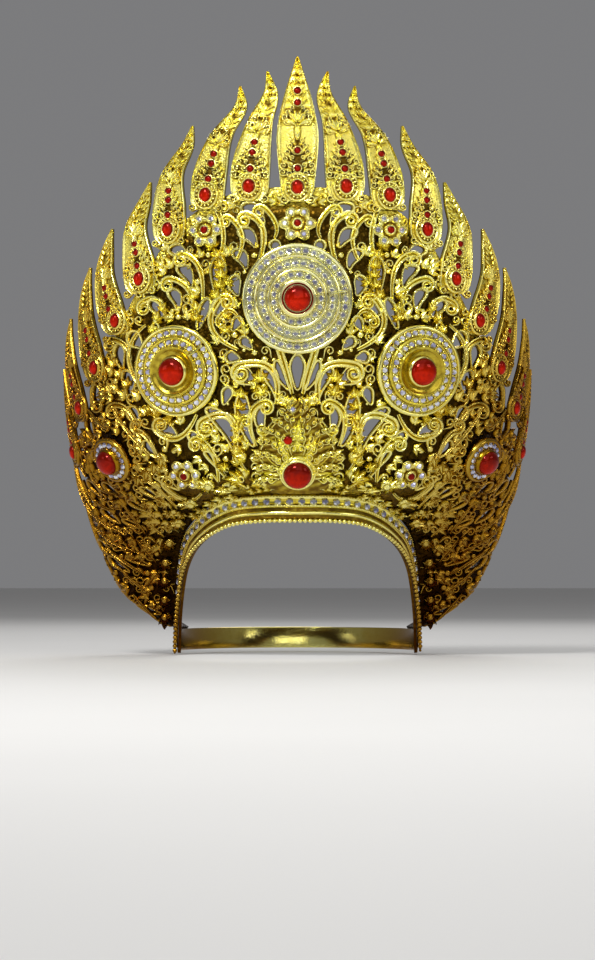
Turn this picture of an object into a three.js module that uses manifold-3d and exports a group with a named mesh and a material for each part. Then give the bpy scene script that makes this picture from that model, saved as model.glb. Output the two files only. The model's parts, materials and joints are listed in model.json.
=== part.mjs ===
// A tall pierced gilt crown worn on the head: an openwork wall that wraps the brow and the temples,
// a border of flame leaves, stepped stone medallions, rosettes and an arched headband. Millimetres, +Z up.
// The wearer faces -Y. The origin is the middle of the head opening at the level of the temple tips.
import * as THREE from 'three';
import Module from 'manifold-3d';
import { mergeVertices } from 'three/addons/utils/BufferGeometryUtils.js';

const wasm = await Module();
wasm.setup();

// ---- Driving sizes ----
const HEAD_HALF_WIDTH = 82;
const HEAD_HALF_DEPTH = 95;
const HEAD_BACK_DEPTH = 100;
const FLARE_WIDTH = 73;
const FLARE_DEPTH = 24;
const FLARE_TOP = 150;
const WALL_THICKNESS = 2;
const SEAT_GAP = 0.5;
const STONE_GAP = 0.3;
const FOOT_GAP = 0.4;
const FACET_TOLERANCES = [0.15, 0.13, 0.11, 0.09, 0.07, 0.05, 0.03];
const WALL_END_ANGLE = 111;
const FRONT_SEAM_ANGLE = 30.6;
const SIDE_SEAM_ANGLE = 53;
const SEAM_GAP = 0.9;
const BACK_BAND_LOW = 3;
const BACK_BAND_HIGH = 18;
const EDGE_ROLL_RADIUS = 1.7;

// How far the wall has flared out, by the share of the height from the band to FLARE_TOP.
const FLARE = [
  { share: 0, flare: 0 },
  { share: 0.05, flare: 0.16 },
  { share: 0.12, flare: 0.34 },
  { share: 0.22, flare: 0.53 },
  { share: 0.32, flare: 0.63 },
  { share: 0.52, flare: 0.79 },
  { share: 0.78, flare: 0.945 },
  { share: 1, flare: 1 },
];

// Half width and half depth of the wall above FLARE_TOP.
const UPPER_WALL = [
  { up: 150, width: 155, depth: 119 },
  { up: 200, width: 161, depth: 126 },
  { up: 250, width: 160, depth: 129 },
  { up: 300, width: 156, depth: 128 },
  { up: 350, width: 152, depth: 124 },
  { up: 400, width: 148, depth: 118 },
];

// The headband: its lower edge and its top edge, from the brow to the temple tip.
const BAND = [
  { edgeAngle: 0, edgeUp: 92, topAngle: 0, topUp: 110 },
  { edgeAngle: 6, edgeUp: 92, topAngle: 6, topUp: 110 },
  { edgeAngle: 12, edgeUp: 92, topAngle: 12, topUp: 110 },
  { edgeAngle: 18.5, edgeUp: 91.6, topAngle: 18.5, topUp: 109.6 },
  { edgeAngle: 25, edgeUp: 91, topAngle: 25, topUp: 109 },
  { edgeAngle: 33, edgeUp: 89, topAngle: 34, topUp: 107 },
  { edgeAngle: 39, edgeUp: 86, topAngle: 41, topUp: 104 },
  { edgeAngle: 44, edgeUp: 83, topAngle: 47, topUp: 100.5 },
  { edgeAngle: 49, edgeUp: 79.5, topAngle: 53, topUp: 96 },
  { edgeAngle: 54, edgeUp: 75.5, topAngle: 59, topUp: 91 },
  { edgeAngle: 58.6, edgeUp: 71, topAngle: 65, topUp: 86 },
  { edgeAngle: 63, edgeUp: 65.5, topAngle: 70, topUp: 79 },
  { edgeAngle: 68, edgeUp: 57.5, topAngle: 75, topUp: 69 },
  { edgeAngle: 72, edgeUp: 48, topAngle: 79, topUp: 58 },
  { edgeAngle: 77, edgeUp: 34, topAngle: 83, topUp: 42 },
  { edgeAngle: 81, edgeUp: 22, topAngle: 87, topUp: 28 },
  { edgeAngle: 84, edgeUp: 12, topAngle: 90, topUp: 18 },
  { edgeAngle: 87, edgeUp: 1.5, topAngle: 88, topUp: 2.5 },
];

// The lower and upper borders of the openwork wall.
const WALL_FOOT = [
  ...BAND.slice(0, 17).map((row) => ({ angle: row.topAngle, up: row.topUp })),
  { angle: 96, up: 18 },
  { angle: 103, up: 18 },
  { angle: 180, up: 18 },
];
const WALL_TOP = [
  { angle: 0, up: 311 },
  { angle: 12, up: 310 },
  { angle: 22, up: 302 },
  { angle: 32, up: 283 },
  { angle: 39.5, up: 254 },
  { angle: 47.5, up: 222 },
  { angle: 56, up: 193 },
  { angle: 64, up: 168 },
  { angle: 70, up: 151 },
  { angle: 78, up: 119 },
  { angle: 88, up: 79 },
  { angle: 98, up: 48 },
  { angle: 112, up: 25 },
];

// Flames from the middle outwards: where the stone sits, the height of the tip, how far across the
// midline lies at each share of the way up, and the greatest half width.
const FLAME_SHARES = [0, 0.3, 0.6, 0.85, 1];
const FLAMES = [
  { stone: [0, 310], tipUp: 398, line: [0, 0, 0, 0, 0], outline: 'slim', half: 13.8 },
  { stone: [31.4, 311], tipUp: 388, line: [31.4, 29.9, 24.5, 17.3, 19.6], outline: 'broad', half: 13 },
  { stone: [59.5, 306], tipUp: 378.5, line: [59.5, 56.8, 49.5, 36.6, 37.3], outline: 'broad', half: 12 },
  { stone: [84, 284.5], tipUp: 353, line: [84, 83.8, 81.5, 71.3, 68.4], outline: 'broad', half: 12.2 },
  { stone: [103, 252.5], tipUp: 317, line: [103, 104.6, 106.2, 99.8, 96.5], outline: 'broad', half: 13 },
  { stone: [119, 226], tipUp: 288, line: [119, 124.5, 127.5, 125, 122.5], outline: 'broad', half: 12.6 },
  { stone: [133.5, 196], tipUp: 263.5, line: [133.5, 138, 141, 140, 138], outline: 'broad', half: 12.4 },
  { stone: [144.5, 170], tipUp: 231, line: [144.5, 149, 152.5, 153.3, 152.5], outline: 'broad', half: 12 },
  { stone: [149.5, 141], tipUp: 198, line: [146.5, 152, 155, 157.2, 158.5], outline: 'slim', half: 10.2 },
];

// Flame outlines: share of the length, share of the greatest half width for a broad foot and for a
// slim one, and the rim's height.
const FLAME_SECTIONS = [
  { along: 0, broad: 0.93, slim: 0.74, rim: 0 },
  { along: 0.14, broad: 1, slim: 0.84, rim: 1 },
  { along: 0.3, broad: 0.98, slim: 0.95, rim: 1.4 },
  { along: 0.45, broad: 0.84, slim: 1, rim: 1.3 },
  { along: 0.6, broad: 0.67, slim: 0.86, rim: 1.2 },
  { along: 0.74, broad: 0.52, slim: 0.62, rim: 1 },
  { along: 0.87, broad: 0.3, slim: 0.34, rim: 0.7 },
  { along: 1, broad: 0.05, slim: 0.05, rim: 0 },
];

// Small flames that close the wall's rear border, cast in one with the side panels.
const REAR_FLAMES = [
  { angle: 83, up: 104, lean: 7, length: 46, half: 6.5 },
  { angle: 91, up: 78, lean: 8, length: 42, half: 6.5 },
  { angle: 99.5, up: 52, lean: 8, length: 36, half: 6 },
];

// Comma-shaped gaps, one row per mirrored pair: the gap's middle in front view, its length and width,
// the way that its round head points (degrees from up, turned outwards) and how far it bows outwards.
const GAPS = [
  { across: 9.5, up: 187, length: 20, width: 3.8, turn: 25, bow: 1.5 },
  { across: 33.5, up: 186, length: 14, width: 10, turn: 60, bow: 0 },
  { across: 17.5, up: 181, length: 22, width: 5.2, turn: 25, bow: -2 },
  { across: 33, up: 158, length: 34, width: 8, turn: 10, bow: 2 },
  { across: 22.5, up: 157, length: 18, width: 5.4, turn: 5, bow: 2 },
  { across: 50, up: 150, length: 36, width: 8.5, turn: 28, bow: -5 },
  { across: 54, up: 130, length: 19, width: 4.4, turn: 15, bow: -1.5 },
  { across: 42.5, up: 199, length: 8, width: 6, turn: 80, bow: 0 },
  { across: 46.5, up: 174, length: 11, width: 5.5, turn: -20, bow: 0 },
  { across: 67, up: 146, length: 10, width: 5.5, turn: 40, bow: 0 },
  { across: 29, up: 292, length: 19, width: 8, turn: 45, bow: -2.5 },
  { across: 32.5, up: 277, length: 15, width: 7, turn: 45, bow: -2 },
  { across: 37.5, up: 263, length: 14, width: 6.5, turn: 35, bow: -2 },
  { across: 14, up: 271, length: 8, width: 5.5, turn: 30, bow: 0 },
  { across: 52, up: 252, length: 25, width: 9, turn: 0, bow: 0 },
  { across: 40, up: 246, length: 12, width: 7, turn: 10, bow: 1 },
  { across: 62, up: 228, length: 20, width: 5.5, turn: -20, bow: 0 },
  { across: 49, up: 230, length: 16, width: 8.5, turn: 30, bow: 1 },
  { across: 40, up: 221, length: 9, width: 5, turn: -30, bow: 0 },
  { across: 33.5, up: 208, length: 9, width: 5.5, turn: 45, bow: 0 },
  { across: 78, up: 268, length: 15, width: 6.5, turn: 60, bow: -2 },
  { across: 74, up: 253, length: 16, width: 6.5, turn: 35, bow: -2.5 },
  { across: 81, up: 238, length: 14, width: 6.5, turn: 25, bow: -2 },
  { across: 93, up: 232, length: 14, width: 8, turn: 40, bow: -2 },
  { across: 107, up: 212, length: 13, width: 9, turn: 50, bow: 0 },
  { across: 118, up: 202, length: 15, width: 8, turn: 10, bow: 0 },
  { across: 113, up: 184, length: 16, width: 9, turn: 0, bow: -2 },
  { across: 108, up: 162, length: 13, width: 8, turn: 30, bow: 0 },
  { across: 86, up: 151, length: 13, width: 6.5, turn: 70, bow: -2 },
  { across: 97, up: 140, length: 12, width: 6.5, turn: 30, bow: 1 },
  { across: 134, up: 176, length: 16, width: 9, turn: 10, bow: 1 },
  { across: 139, up: 156, length: 14, width: 8, turn: 20, bow: 1 },
];

// Rows of like gaps round the lower sides: height above the band, first and last angle, how many.
const SIDE_GAPS = [
  { above: 15, from: 42, to: 100, count: 7, length: 12, width: 6, turn: 25 },
  { above: 31, from: 57, to: 95, count: 5, length: 13, width: 7, turn: 32 },
  { above: 47, from: 63, to: 87, count: 3, length: 13, width: 7, turn: 25 },
];
const GAP_POINTS = [
  { along: -0.5, side: 0 },
  { along: -0.2, side: 0.3 },
  { along: 0.15, side: 0.5 },
  { along: 0.4, side: 0.34 },
  { along: 0.5, side: 0 },
  { along: 0.4, side: -0.34 },
  { along: 0.15, side: -0.5 },
  { along: -0.2, side: -0.3 },
];

// Raised scroll arms that run along the larger gaps: start, middle and end in front view, and height.
const SCROLLS = [
  { start: [5, 176], middle: [8, 187], end: [14, 199], half: 2.2 },
  { start: [14, 168], middle: [17, 191], end: [38, 194], half: 2.4 },
  { start: [27, 144], middle: [31, 160], end: [24, 170], half: 2.2 },
  { start: [44, 134], middle: [43, 158], end: [62, 158], half: 2.4 },
  { start: [39, 204], middle: [56, 219], end: [48, 241], half: 2.2 },
  { start: [30, 256], middle: [22, 280], end: [33, 293], half: 2.4 },
  { start: [62, 238], middle: [65, 260], end: [75, 268], half: 2.2 },
];

// Medallions from the middle outwards: place, radius of the ruby and lathe profile (radius, height).
const MEDALLIONS = [
  {
    name: 'centre', across: 0, up: 237, stone: 7.6, sides: 24,
    profile: [[36.5, 0], [36.5, 3], [35, 4.4], [33.4, 3.4], [29.6, 3.4], [28.2, 6.6], [26.8, 5.6],
      [20.6, 5.6], [19.2, 9], [17.8, 8], [13.4, 8], [12.2, 12.5], [9.4, 12.5]],
  },
  {
    name: 'side', across: 79, up: 191, stone: 8, sides: 20,
    profile: [[30.5, 0], [30.5, 3], [28.9, 4.2], [27.6, 3.4], [23.4, 3.4], [22.4, 6.2], [21, 5.4],
      [17.2, 5.4], [16.2, 8.2], [14.6, 6.6], [10.6, 6], [9.4, 9.5]],
  },
  {
    name: 'far', across: 123, up: 134.7, stone: 7.2, sides: 14,
    profile: [[16, 0], [16, 3], [14.4, 4.4], [13.2, 3.6], [9.6, 3.6], [8.6, 7.4]],
  },
];

// Six-petalled rosettes.
const ROSETTES = [
  { name: 'top', across: 0, up: 286.5, radius: 12.5 },
  { name: 'upper', across: 60, up: 283, radius: 12 },
  { name: 'lower', across: 74, up: 124, radius: 11.5 },
];

// Acanthus leaves low on the front wall, spreading from the middle: root, length, half width, turn.
const BAND_LEAVES = [
  { across: 27, up: 117, length: 19, half: 5, turn: 62 },
  { across: 36, up: 113, length: 20, half: 5, turn: 78 },
  { across: 46, up: 120, length: 13, half: 4.5, turn: 20 },
  { across: 60, up: 111, length: 17, half: 5, turn: 62 },
];

// Leaves of the front stone's foliage, from the foot to the crest.
const CREST_LEAVES = [
  { across: 0, up: 136, length: 36, half: 8, turn: 0 },
  { across: 6, up: 131, length: 31, half: 6.5, turn: 22 },
  { across: 8, up: 127, length: 22, half: 6, turn: 46 },
  { across: 8, up: 122, length: 19, half: 6, turn: 74 },
];

const FRONT_STONE = { up: 125, radius: 9.1 };
const COLOURS = { gilt: 0xd9a62c, ruby: 0xc01020 };

const rad = THREE.MathUtils.degToRad;
const group = new THREE.Group();

function read(table, key, at, column) {
  let i = 1;
  while (i < table.length - 1 && table[i][key] < at) {
    i += 1;
  }
  const a = table[i - 1];
  const b = table[i];
  const share = THREE.MathUtils.clamp((at - a[key]) / (b[key] - a[key]), 0, 1);
  return a[column] + (b[column] - a[column]) * share;
}

// The wall's middle surface, by the angle round the head from the brow and the height.
function wallPoint(angle, up) {
  const turn = Math.abs(angle);
  const foot = read(WALL_FOOT, 'angle', turn, 'up');
  let halfWidth = read(UPPER_WALL, 'up', up, 'width');
  let halfDepth = read(UPPER_WALL, 'up', up, 'depth');
  if (up < FLARE_TOP) {
    const flare = read(FLARE, 'share', (up - foot) / (FLARE_TOP - foot), 'flare');
    halfWidth = HEAD_HALF_WIDTH + FLARE_WIDTH * flare;
    halfDepth = HEAD_HALF_DEPTH + FLARE_DEPTH * flare;
  }
  return new THREE.Vector3(halfWidth * Math.sin(rad(angle)), -halfDepth * Math.cos(rad(angle)), up);
}

function wallFrame(angle, up) {
  const acrossStep = wallPoint(angle + 0.5, up).sub(wallPoint(angle - 0.5, up));
  const upStep = wallPoint(angle, up + 1).sub(wallPoint(angle, up - 1));
  const out = new THREE.Vector3().crossVectors(acrossStep, upStep).normalize();
  return { out, arc: acrossStep.length(), rise: upStep.length() / 2, origin: wallPoint(angle, up) };
}

function onWall(angle, up, out) {
  const frame = wallFrame(angle, up);
  return frame.origin.addScaledVector(frame.out, out);
}

// The angle at which the wall lies this far across in front view.
function angleAt(across, up) {
  let low = 0;
  let high = 90;
  for (let i = 0; i < 30; i += 1) {
    const middle = (low + high) / 2;
    if (wallPoint(middle, up).x < Math.abs(across)) {
      low = middle;
    } else {
      high = middle;
    }
  }
  return Math.sign(across) * low;
}

// A point moved over the wall from (angle, up) by millimetres across and up, standing out from it.
function stepOnWall(angle, up, across, rise, out) {
  const frame = wallFrame(angle, up);
  return onWall(angle + across / frame.arc, up + rise / frame.rise, out);
}

function solid(points, triangles) {
  const geometry = new THREE.BufferGeometry();
  const flat = points.flatMap((p) => [p.x, p.y, p.z]);
  geometry.setAttribute('position', new THREE.Float32BufferAttribute(flat, 3));
  geometry.setIndex(triangles);
  let volume = 0;
  for (let i = 0; i < triangles.length; i += 3) {
    const [a, b, c] = [points[triangles[i]], points[triangles[i + 1]], points[triangles[i + 2]]];
    volume += a.dot(new THREE.Vector3().crossVectors(b, c));
  }
  if (volume < 0) {
    geometry.setIndex(triangles.toReversed());
  }
  return geometry;
}

// Closed rings joined in order, with flat ends.
function skin(rings) {
  const count = rings[0].length;
  const triangles = [];
  for (let r = 0; r < rings.length - 1; r += 1) {
    for (let i = 0; i < count; i += 1) {
      const a = r * count + i;
      const b = r * count + ((i + 1) % count);
      triangles.push(a, b, b + count, a, b + count, a + count);
    }
  }
  const last = (rings.length - 1) * count;
  for (let i = 1; i < count - 1; i += 1) {
    triangles.push(0, i + 1, i);
    triangles.push(last, last + i, last + i + 1);
  }
  return solid(rings.flat(), triangles);
}

// A curved plate from a grid of (outer, inner) points.
function plate(rows, columns, place) {
  const points = [];
  const triangles = [];
  for (let side = 0; side < 2; side += 1) {
    for (let r = 0; r <= rows; r += 1) {
      for (let c = 0; c <= columns; c += 1) {
        points.push(place(r, c, side));
      }
    }
  }
  const wide = columns + 1;
  const back = (rows + 1) * wide;
  for (let r = 0; r < rows; r += 1) {
    for (let c = 0; c < columns; c += 1) {
      const a = r * wide + c;
      triangles.push(a, a + 1, a + wide + 1, a, a + wide + 1, a + wide);
      triangles.push(back + a, back + a + wide + 1, back + a + 1);
      triangles.push(back + a, back + a + wide, back + a + wide + 1);
    }
  }
  const border = [];
  for (let c = 0; c < columns; c += 1) {
    border.push(c);
  }
  for (let r = 0; r < rows; r += 1) {
    border.push(r * wide + columns);
  }
  for (let c = columns; c > 0; c -= 1) {
    border.push(rows * wide + c);
  }
  for (let r = rows; r > 0; r -= 1) {
    border.push(r * wide);
  }
  // Both upright ends are split the same way, so that neighbouring plates meet without crossing.
  for (let i = 0; i < border.length; i += 1) {
    const a = border[i];
    const b = border[(i + 1) % border.length];
    if (a > b) {
      triangles.push(a, back + a, b, b, back + a, back + b);
    } else {
      triangles.push(a, back + b, b, a, back + a, back + b);
    }
  }
  return solid(points, triangles);
}

function toManifold(geometry) {
  const bare = geometry.clone();
  bare.deleteAttribute('normal');
  bare.deleteAttribute('uv');
  const merged = mergeVertices(bare, 1e-4);
  const mesh = new wasm.Mesh({
    numProp: 3,
    vertProperties: new Float32Array(merged.attributes.position.array),
    triVerts: new Uint32Array(merged.index.array),
  });
  mesh.merge();
  return new wasm.Manifold(mesh);
}

// True where every edge of the mesh lies between exactly two facets.
function isPlain(mesh) {
  const count = new Map();
  const grid = (value) => Math.round(value * 500);
  const place = (v) => Array.from(mesh.vertProperties.slice(v * 3, v * 3 + 3), grid).join();
  for (let i = 0; i < mesh.triVerts.length; i += 3) {
    const corners = [0, 1, 2].map((k) => place(mesh.triVerts[i + k]));
    for (let k = 0; k < 3; k += 1) {
      const edge = [corners[k], corners[(k + 1) % 3]].sort().join(' ');
      count.set(edge, (count.get(edge) ?? 0) + 1);
    }
  }
  return [...count.values()].every((uses) => uses === 2);
}

// A joined solid as a mesh, without the facets that it doesn't need.
function fromManifold(manifold) {
  const meshes = FACET_TOLERANCES.map((tolerance) => manifold.asOriginal().simplify(tolerance).getMesh());
  const mesh = meshes.find(isPlain) ?? manifold.getMesh();
  const geometry = new THREE.BufferGeometry();
  geometry.setAttribute('position', new THREE.BufferAttribute(new Float32Array(mesh.vertProperties), 3));
  geometry.setIndex(new THREE.BufferAttribute(new Uint32Array(mesh.triVerts), 1));
  return geometry;
}

function join(geometries) {
  return geometries.map(toManifold).reduce((all, next) => all.add(next));
}

function addPiece(name, geometry, colour) {
  const facets = geometry.toNonIndexed();
  facets.computeVertexNormals();
  const material = new THREE.MeshStandardMaterial({ color: COLOURS[colour], metalness: 0.9, roughness: 0.3 });
  if (colour === 'ruby') {
    material.metalness = 0;
    material.roughness = 0.1;
  }
  const mesh = new THREE.Mesh(facets, material);
  mesh.name = name;
  group.add(mesh);
}

// Both hands of a piece that lies off the middle line, or the one in the middle.
function hands(across) {
  if (across === 0) {
    return [{ hand: 1, suffix: '' }];
  }
  return [{ hand: 1, suffix: '_left' }, { hand: -1, suffix: '_right' }];
}

// ---- Openwork wall ----
function gapPrism(angle, up, row, hand) {
  const turn = rad(row.turn) * hand;
  const rings = [-6, 6].map((out) => GAP_POINTS.map((point) => {
    const along = point.along * row.length;
    const bow = (row.bow ?? 0) * hand * (1 - 4 * point.along * point.along);
    const side = point.side * row.width + bow;
    const across = along * Math.sin(turn) + side * Math.cos(turn);
    const rise = along * Math.cos(turn) - side * Math.sin(turn);
    return stepOnWall(angle, up, across, rise, out);
  }));
  return skin(rings);
}

function allGaps() {
  const gaps = [];
  for (const row of GAPS) {
    for (const { hand } of hands(row.across)) {
      const angle = angleAt(row.across * hand, row.up);
      gaps.push({ angle, cutter: toManifold(gapPrism(angle, row.up, row, hand)) });
    }
  }
  for (const row of SIDE_GAPS) {
    for (let i = 0; i < row.count; i += 1) {
      for (const hand of [1, -1]) {
        const angle = row.from + ((row.to - row.from) * i) / (row.count - 1);
        const up = read(WALL_FOOT, 'angle', angle, 'up') + row.above;
        gaps.push({ angle: angle * hand, cutter: toManifold(gapPrism(angle * hand, up, row, hand)) });
      }
    }
  }
  const wedge = { length: 22, width: 8, turn: 0 };
  gaps.push({ angle: 0, cutter: toManifold(gapPrism(0, 189, wedge, 1)) });
  return gaps;
}

function leafSolid(angle, up, row, hand, low, high) {
  const turn = rad(row.turn) * hand;
  const sections = [[0, 0.35, 0.3], [0.35, 1, 1], [0.7, 0.75, 0.8], [1, 0.06, 0.1]];
  const rings = sections.map(([along, wide, tall]) => [-1, 0, 1].map((side) => {
    const shift = side * wide * row.half;
    const reach = along * row.length;
    const across = reach * Math.sin(turn) + shift * Math.cos(turn);
    const rise = reach * Math.cos(turn) - shift * Math.sin(turn);
    return [across, rise, side === 0 ? low + (high - low) * tall : low];
  }).map(([across, rise, out]) => stepOnWall(angle, up, across, rise, out)));
  return skin(rings);
}

function scrollArm(row, hand) {
  const rings = [];
  const steps = 5;
  const { start, middle, end } = row;
  const pull = [0, 1].map((k) => 2 * middle[k] - 0.5 * (start[k] + end[k]));
  for (let i = 0; i <= steps; i += 1) {
    const t = i / steps;
    const point = [0, 1].map((k) => (1 - t) ** 2 * start[k] + 2 * t * (1 - t) * pull[k] + t * t * end[k]);
    const slope = [0, 1].map((k) => 2 * (1 - t) * (pull[k] - start[k]) + 2 * t * (end[k] - pull[k]));
    const size = Math.hypot(slope[0], slope[1]);
    const half = row.half * (0.45 + 0.55 * Math.sin(Math.PI * t));
    rings.push([-1, 0, 1].map((side) => {
      const across = (point[0] + (side * half * slope[1]) / size) * hand;
      const up = point[1] - (side * half * slope[0]) / size;
      return onWall(angleAt(across, up), up, side === 0 ? 2.9 : 0.6);
    }));
  }
  return skin(rings);
}

const ROW_SHARES = [0, 0.04, 0.1, 0.18, 0.31, 0.52, 0.76, 1];

// The angles at which a panel's facets meet: both ends, and the headband's own between them.
function panelAngles(from, to) {
  const inner = WALL_FOOT.flatMap((row) => (row.angle === 0 ? [0] : [row.angle, -row.angle]));
  const kept = inner.filter((angle) => angle > from + 1 && angle < to - 1);
  return [from, ...kept.sort((a, b) => a - b), to];
}

// A panel's share of the wall, or with more depth and height the block that its relief is kept within.
function panelPlate(from, to, inner, outer, height) {
  const angles = panelAngles(from, to);
  const rows = ROW_SHARES.length - (height > 0 ? 0 : 1);
  return toManifold(plate(rows, angles.length - 1, (r, c, side) => {
    const angle = angles[c];
    const foot = read(WALL_FOOT, 'angle', Math.abs(angle), 'up') + FOOT_GAP;
    const top = read(WALL_TOP, 'angle', Math.abs(angle), 'up');
    const up = r < ROW_SHARES.length ? foot + (top - foot) * ROW_SHARES[r] : top + height;
    const frame = wallFrame(angle, up);
    if (r === 0) {
      frame.out.set(Math.sin(rad(angle)), -Math.cos(rad(angle)), 0);
    }
    return frame.origin.addScaledVector(frame.out, side === 0 ? outer : inner);
  }));
}

function wallPanel(from, to, gaps, reliefs) {
  let panel = panelPlate(from, to, -WALL_THICKNESS / 2, WALL_THICKNESS / 2, 0);
  const block = panelPlate(from, to, -2, 8, 70);
  for (const relief of reliefs) {
    panel = panel.add(relief.intersect(block));
  }
  for (const gap of gaps) {
    if (gap.angle > from - 9 && gap.angle < to + 9) {
      panel = panel.subtract(gap.cutter);
    }
  }
  return panel;
}

// A flame along its line, which gives the angle and the height at each share of its length.
function flameSolid(line, half, low, outline) {
  const frames = FLAME_SECTIONS.map((row) => {
    const { angle, up } = line(row.along);
    const rim = low + 1.7 + row.rim;
    const section = [[-1, low], [-0.82, rim], [0, low + 1.7], [0.82, rim], [1, low]];
    return section.map(([side, out]) => stepOnWall(angle, up, side * row[outline] * half, 0, out));
  });
  return skin(frames);
}

const FLAME_BACK = WALL_THICKNESS / 2 + SEAT_GAP + 0.2;

function flamePiece(row, hand) {
  const [stoneAcross, stoneUp] = row.stone;
  const footUp = stoneUp - 9.5;
  const marks = FLAME_SHARES.map((share, i) => ({ share, across: row.line[i] }));
  const line = (t) => {
    const up = footUp + (row.tipUp - footUp) * t;
    return { angle: angleAt(read(marks, 'share', t, 'across') * hand, up), up };
  };
  const leaf = flameSolid(line, row.half, FLAME_BACK, row.outline);
  const stoneAngle = angleAt(stoneAcross * hand, stoneUp);
  const boss = disc(stoneAngle, stoneUp, FLAME_BACK + 0.4, 8, [[9, 0], [8.2, 2.8], [4.6, 3.6]], 1.12);
  return join([leaf, boss]);
}

// A round or oval stepped boss, square to the wall: profile of (radius, height).
function disc(angle, up, low, sides, profile, tall) {
  const frame = wallFrame(angle, up);
  const across = new THREE.Vector3(0, 0, 1).cross(frame.out).negate().normalize();
  const rise = new THREE.Vector3().crossVectors(frame.out, across).normalize();
  const rings = profile.map(([radius, height]) => {
    const ring = [];
    for (let i = 0; i < sides; i += 1) {
      const turn = (2 * Math.PI * (i + 0.5)) / sides;
      ring.push(frame.origin.clone()
        .addScaledVector(across, radius * Math.cos(turn))
        .addScaledVector(rise, radius * Math.sin(turn) * tall)
        .addScaledVector(frame.out, low + height));
    }
    return ring;
  });
  return skin(rings);
}

function stone(name, angle, up, low, radius, sides, tall) {
  const profile = [[radius, 0], [radius * 0.84, radius * 0.4], [radius * 0.4, radius * 0.66]];
  addPiece(name, disc(angle, up, low, sides, profile, tall), 'ruby');
}

const gaps = allGaps();
const extras = { front: [], shoulder: [], side: [] };
for (const hand of [1, -1]) {
  for (const row of BAND_LEAVES) {
    const angle = angleAt(row.across * hand, row.up);
    extras.front.push({ angle, body: toManifold(leafSolid(angle, row.up, row, hand, 0.6, 4.6)) });
  }
  for (const row of SCROLLS) {
    const angle = angleAt(row.middle[0] * hand, row.middle[1]);
    extras.front.push({ angle, body: toManifold(scrollArm(row, hand)) });
  }
  for (const row of REAR_FLAMES) {
    const line = (t) => ({
      angle: (row.angle + row.lean * t + 4 * t * (1 - t)) * hand,
      up: row.up - 10 + (row.length + 10) * t,
    });
    const body = toManifold(flameSolid(line, row.half, 0.2, 'slim'));
    extras.side.push({ angle: row.angle * hand, body });
  }
}

const seam = SEAM_GAP / 2 / 2.6;
const PANELS = [
  { name: 'wall_front', from: -FRONT_SEAM_ANGLE + seam, to: FRONT_SEAM_ANGLE - seam },
  { name: 'wall_shoulder', from: FRONT_SEAM_ANGLE + seam, to: SIDE_SEAM_ANGLE - seam },
  { name: 'wall_side', from: SIDE_SEAM_ANGLE + seam, to: WALL_END_ANGLE },
];
const reliefs = [...extras.front, ...extras.side];

function mirrored(geometry) {
  const copy = geometry.clone().scale(-1, 1, 1);
  copy.setIndex(Array.from(copy.index.array).toReversed());
  return copy;
}

for (const panel of PANELS) {
  const own = reliefs.filter((relief) => relief.angle > panel.from - 12 && relief.angle < panel.to + 12);
  const body = fromManifold(wallPanel(panel.from, panel.to, gaps, own.map((relief) => relief.body)));
  if (panel.from < 0) {
    addPiece(panel.name, body, 'gilt');
  } else {
    addPiece(`${panel.name}_left`, body, 'gilt');
    addPiece(`${panel.name}_right`, mirrored(body), 'gilt');
  }
}

// ---- Flames and their stones ----
FLAMES.forEach((row, k) => {
  for (const { hand, suffix } of hands(row.stone[0])) {
    addPiece(`flame_${k}${suffix}`, fromManifold(flamePiece(row, hand)), 'gilt');
    const angle = angleAt(row.stone[0] * hand, row.stone[1]);
    stone(`flame_stone_${k}${suffix}`, angle, row.stone[1], FLAME_BACK + 0.6 + 3.6 + STONE_GAP, 3, 7, 1.45);
  }
});

// ---- Medallions, rosettes and the front stone ----
for (const row of MEDALLIONS) {
  for (const { hand, suffix } of hands(row.across)) {
    const angle = angleAt(row.across * hand, row.up);
    const low = WALL_THICKNESS / 2 + SEAT_GAP;
    const top = row.profile[row.profile.length - 1][1];
    addPiece(`medallion_${row.name}${suffix}`, disc(angle, row.up, low, row.sides, row.profile, 1), 'gilt');
    stone(`medallion_stone_${row.name}${suffix}`, angle, row.up, low + top + STONE_GAP, row.stone, 10, 1);
  }
}

function rosettePiece(angle, up, radius) {
  const frame = wallFrame(angle, up);
  const across = new THREE.Vector3(0, 0, 1).cross(frame.out).negate().normalize();
  const rise = new THREE.Vector3().crossVectors(frame.out, across).normalize();
  const low = WALL_THICKNESS / 2 + SEAT_GAP;
  const rings = [[1, 0], [1, 1.4], [0.72, 3], [0.34, 2], [0.26, 4.2]].map(([share, height]) => {
    const ring = [];
    for (let i = 0; i < 12; i += 1) {
      const turn = (2 * Math.PI * i) / 12;
      const petal = i % 2 === 0 && share > 0.5 ? 1 : 0.8;
      ring.push(frame.origin.clone()
        .addScaledVector(across, Math.sin(turn) * radius * share * petal)
        .addScaledVector(rise, Math.cos(turn) * radius * share * petal)
        .addScaledVector(frame.out, low + height));
    }
    return ring;
  });
  return skin(rings);
}

for (const row of ROSETTES) {
  for (const { hand, suffix } of hands(row.across)) {
    const angle = angleAt(row.across * hand, row.up);
    addPiece(`rosette_${row.name}${suffix}`, rosettePiece(angle, row.up, row.radius), 'gilt');
  }
}

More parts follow.
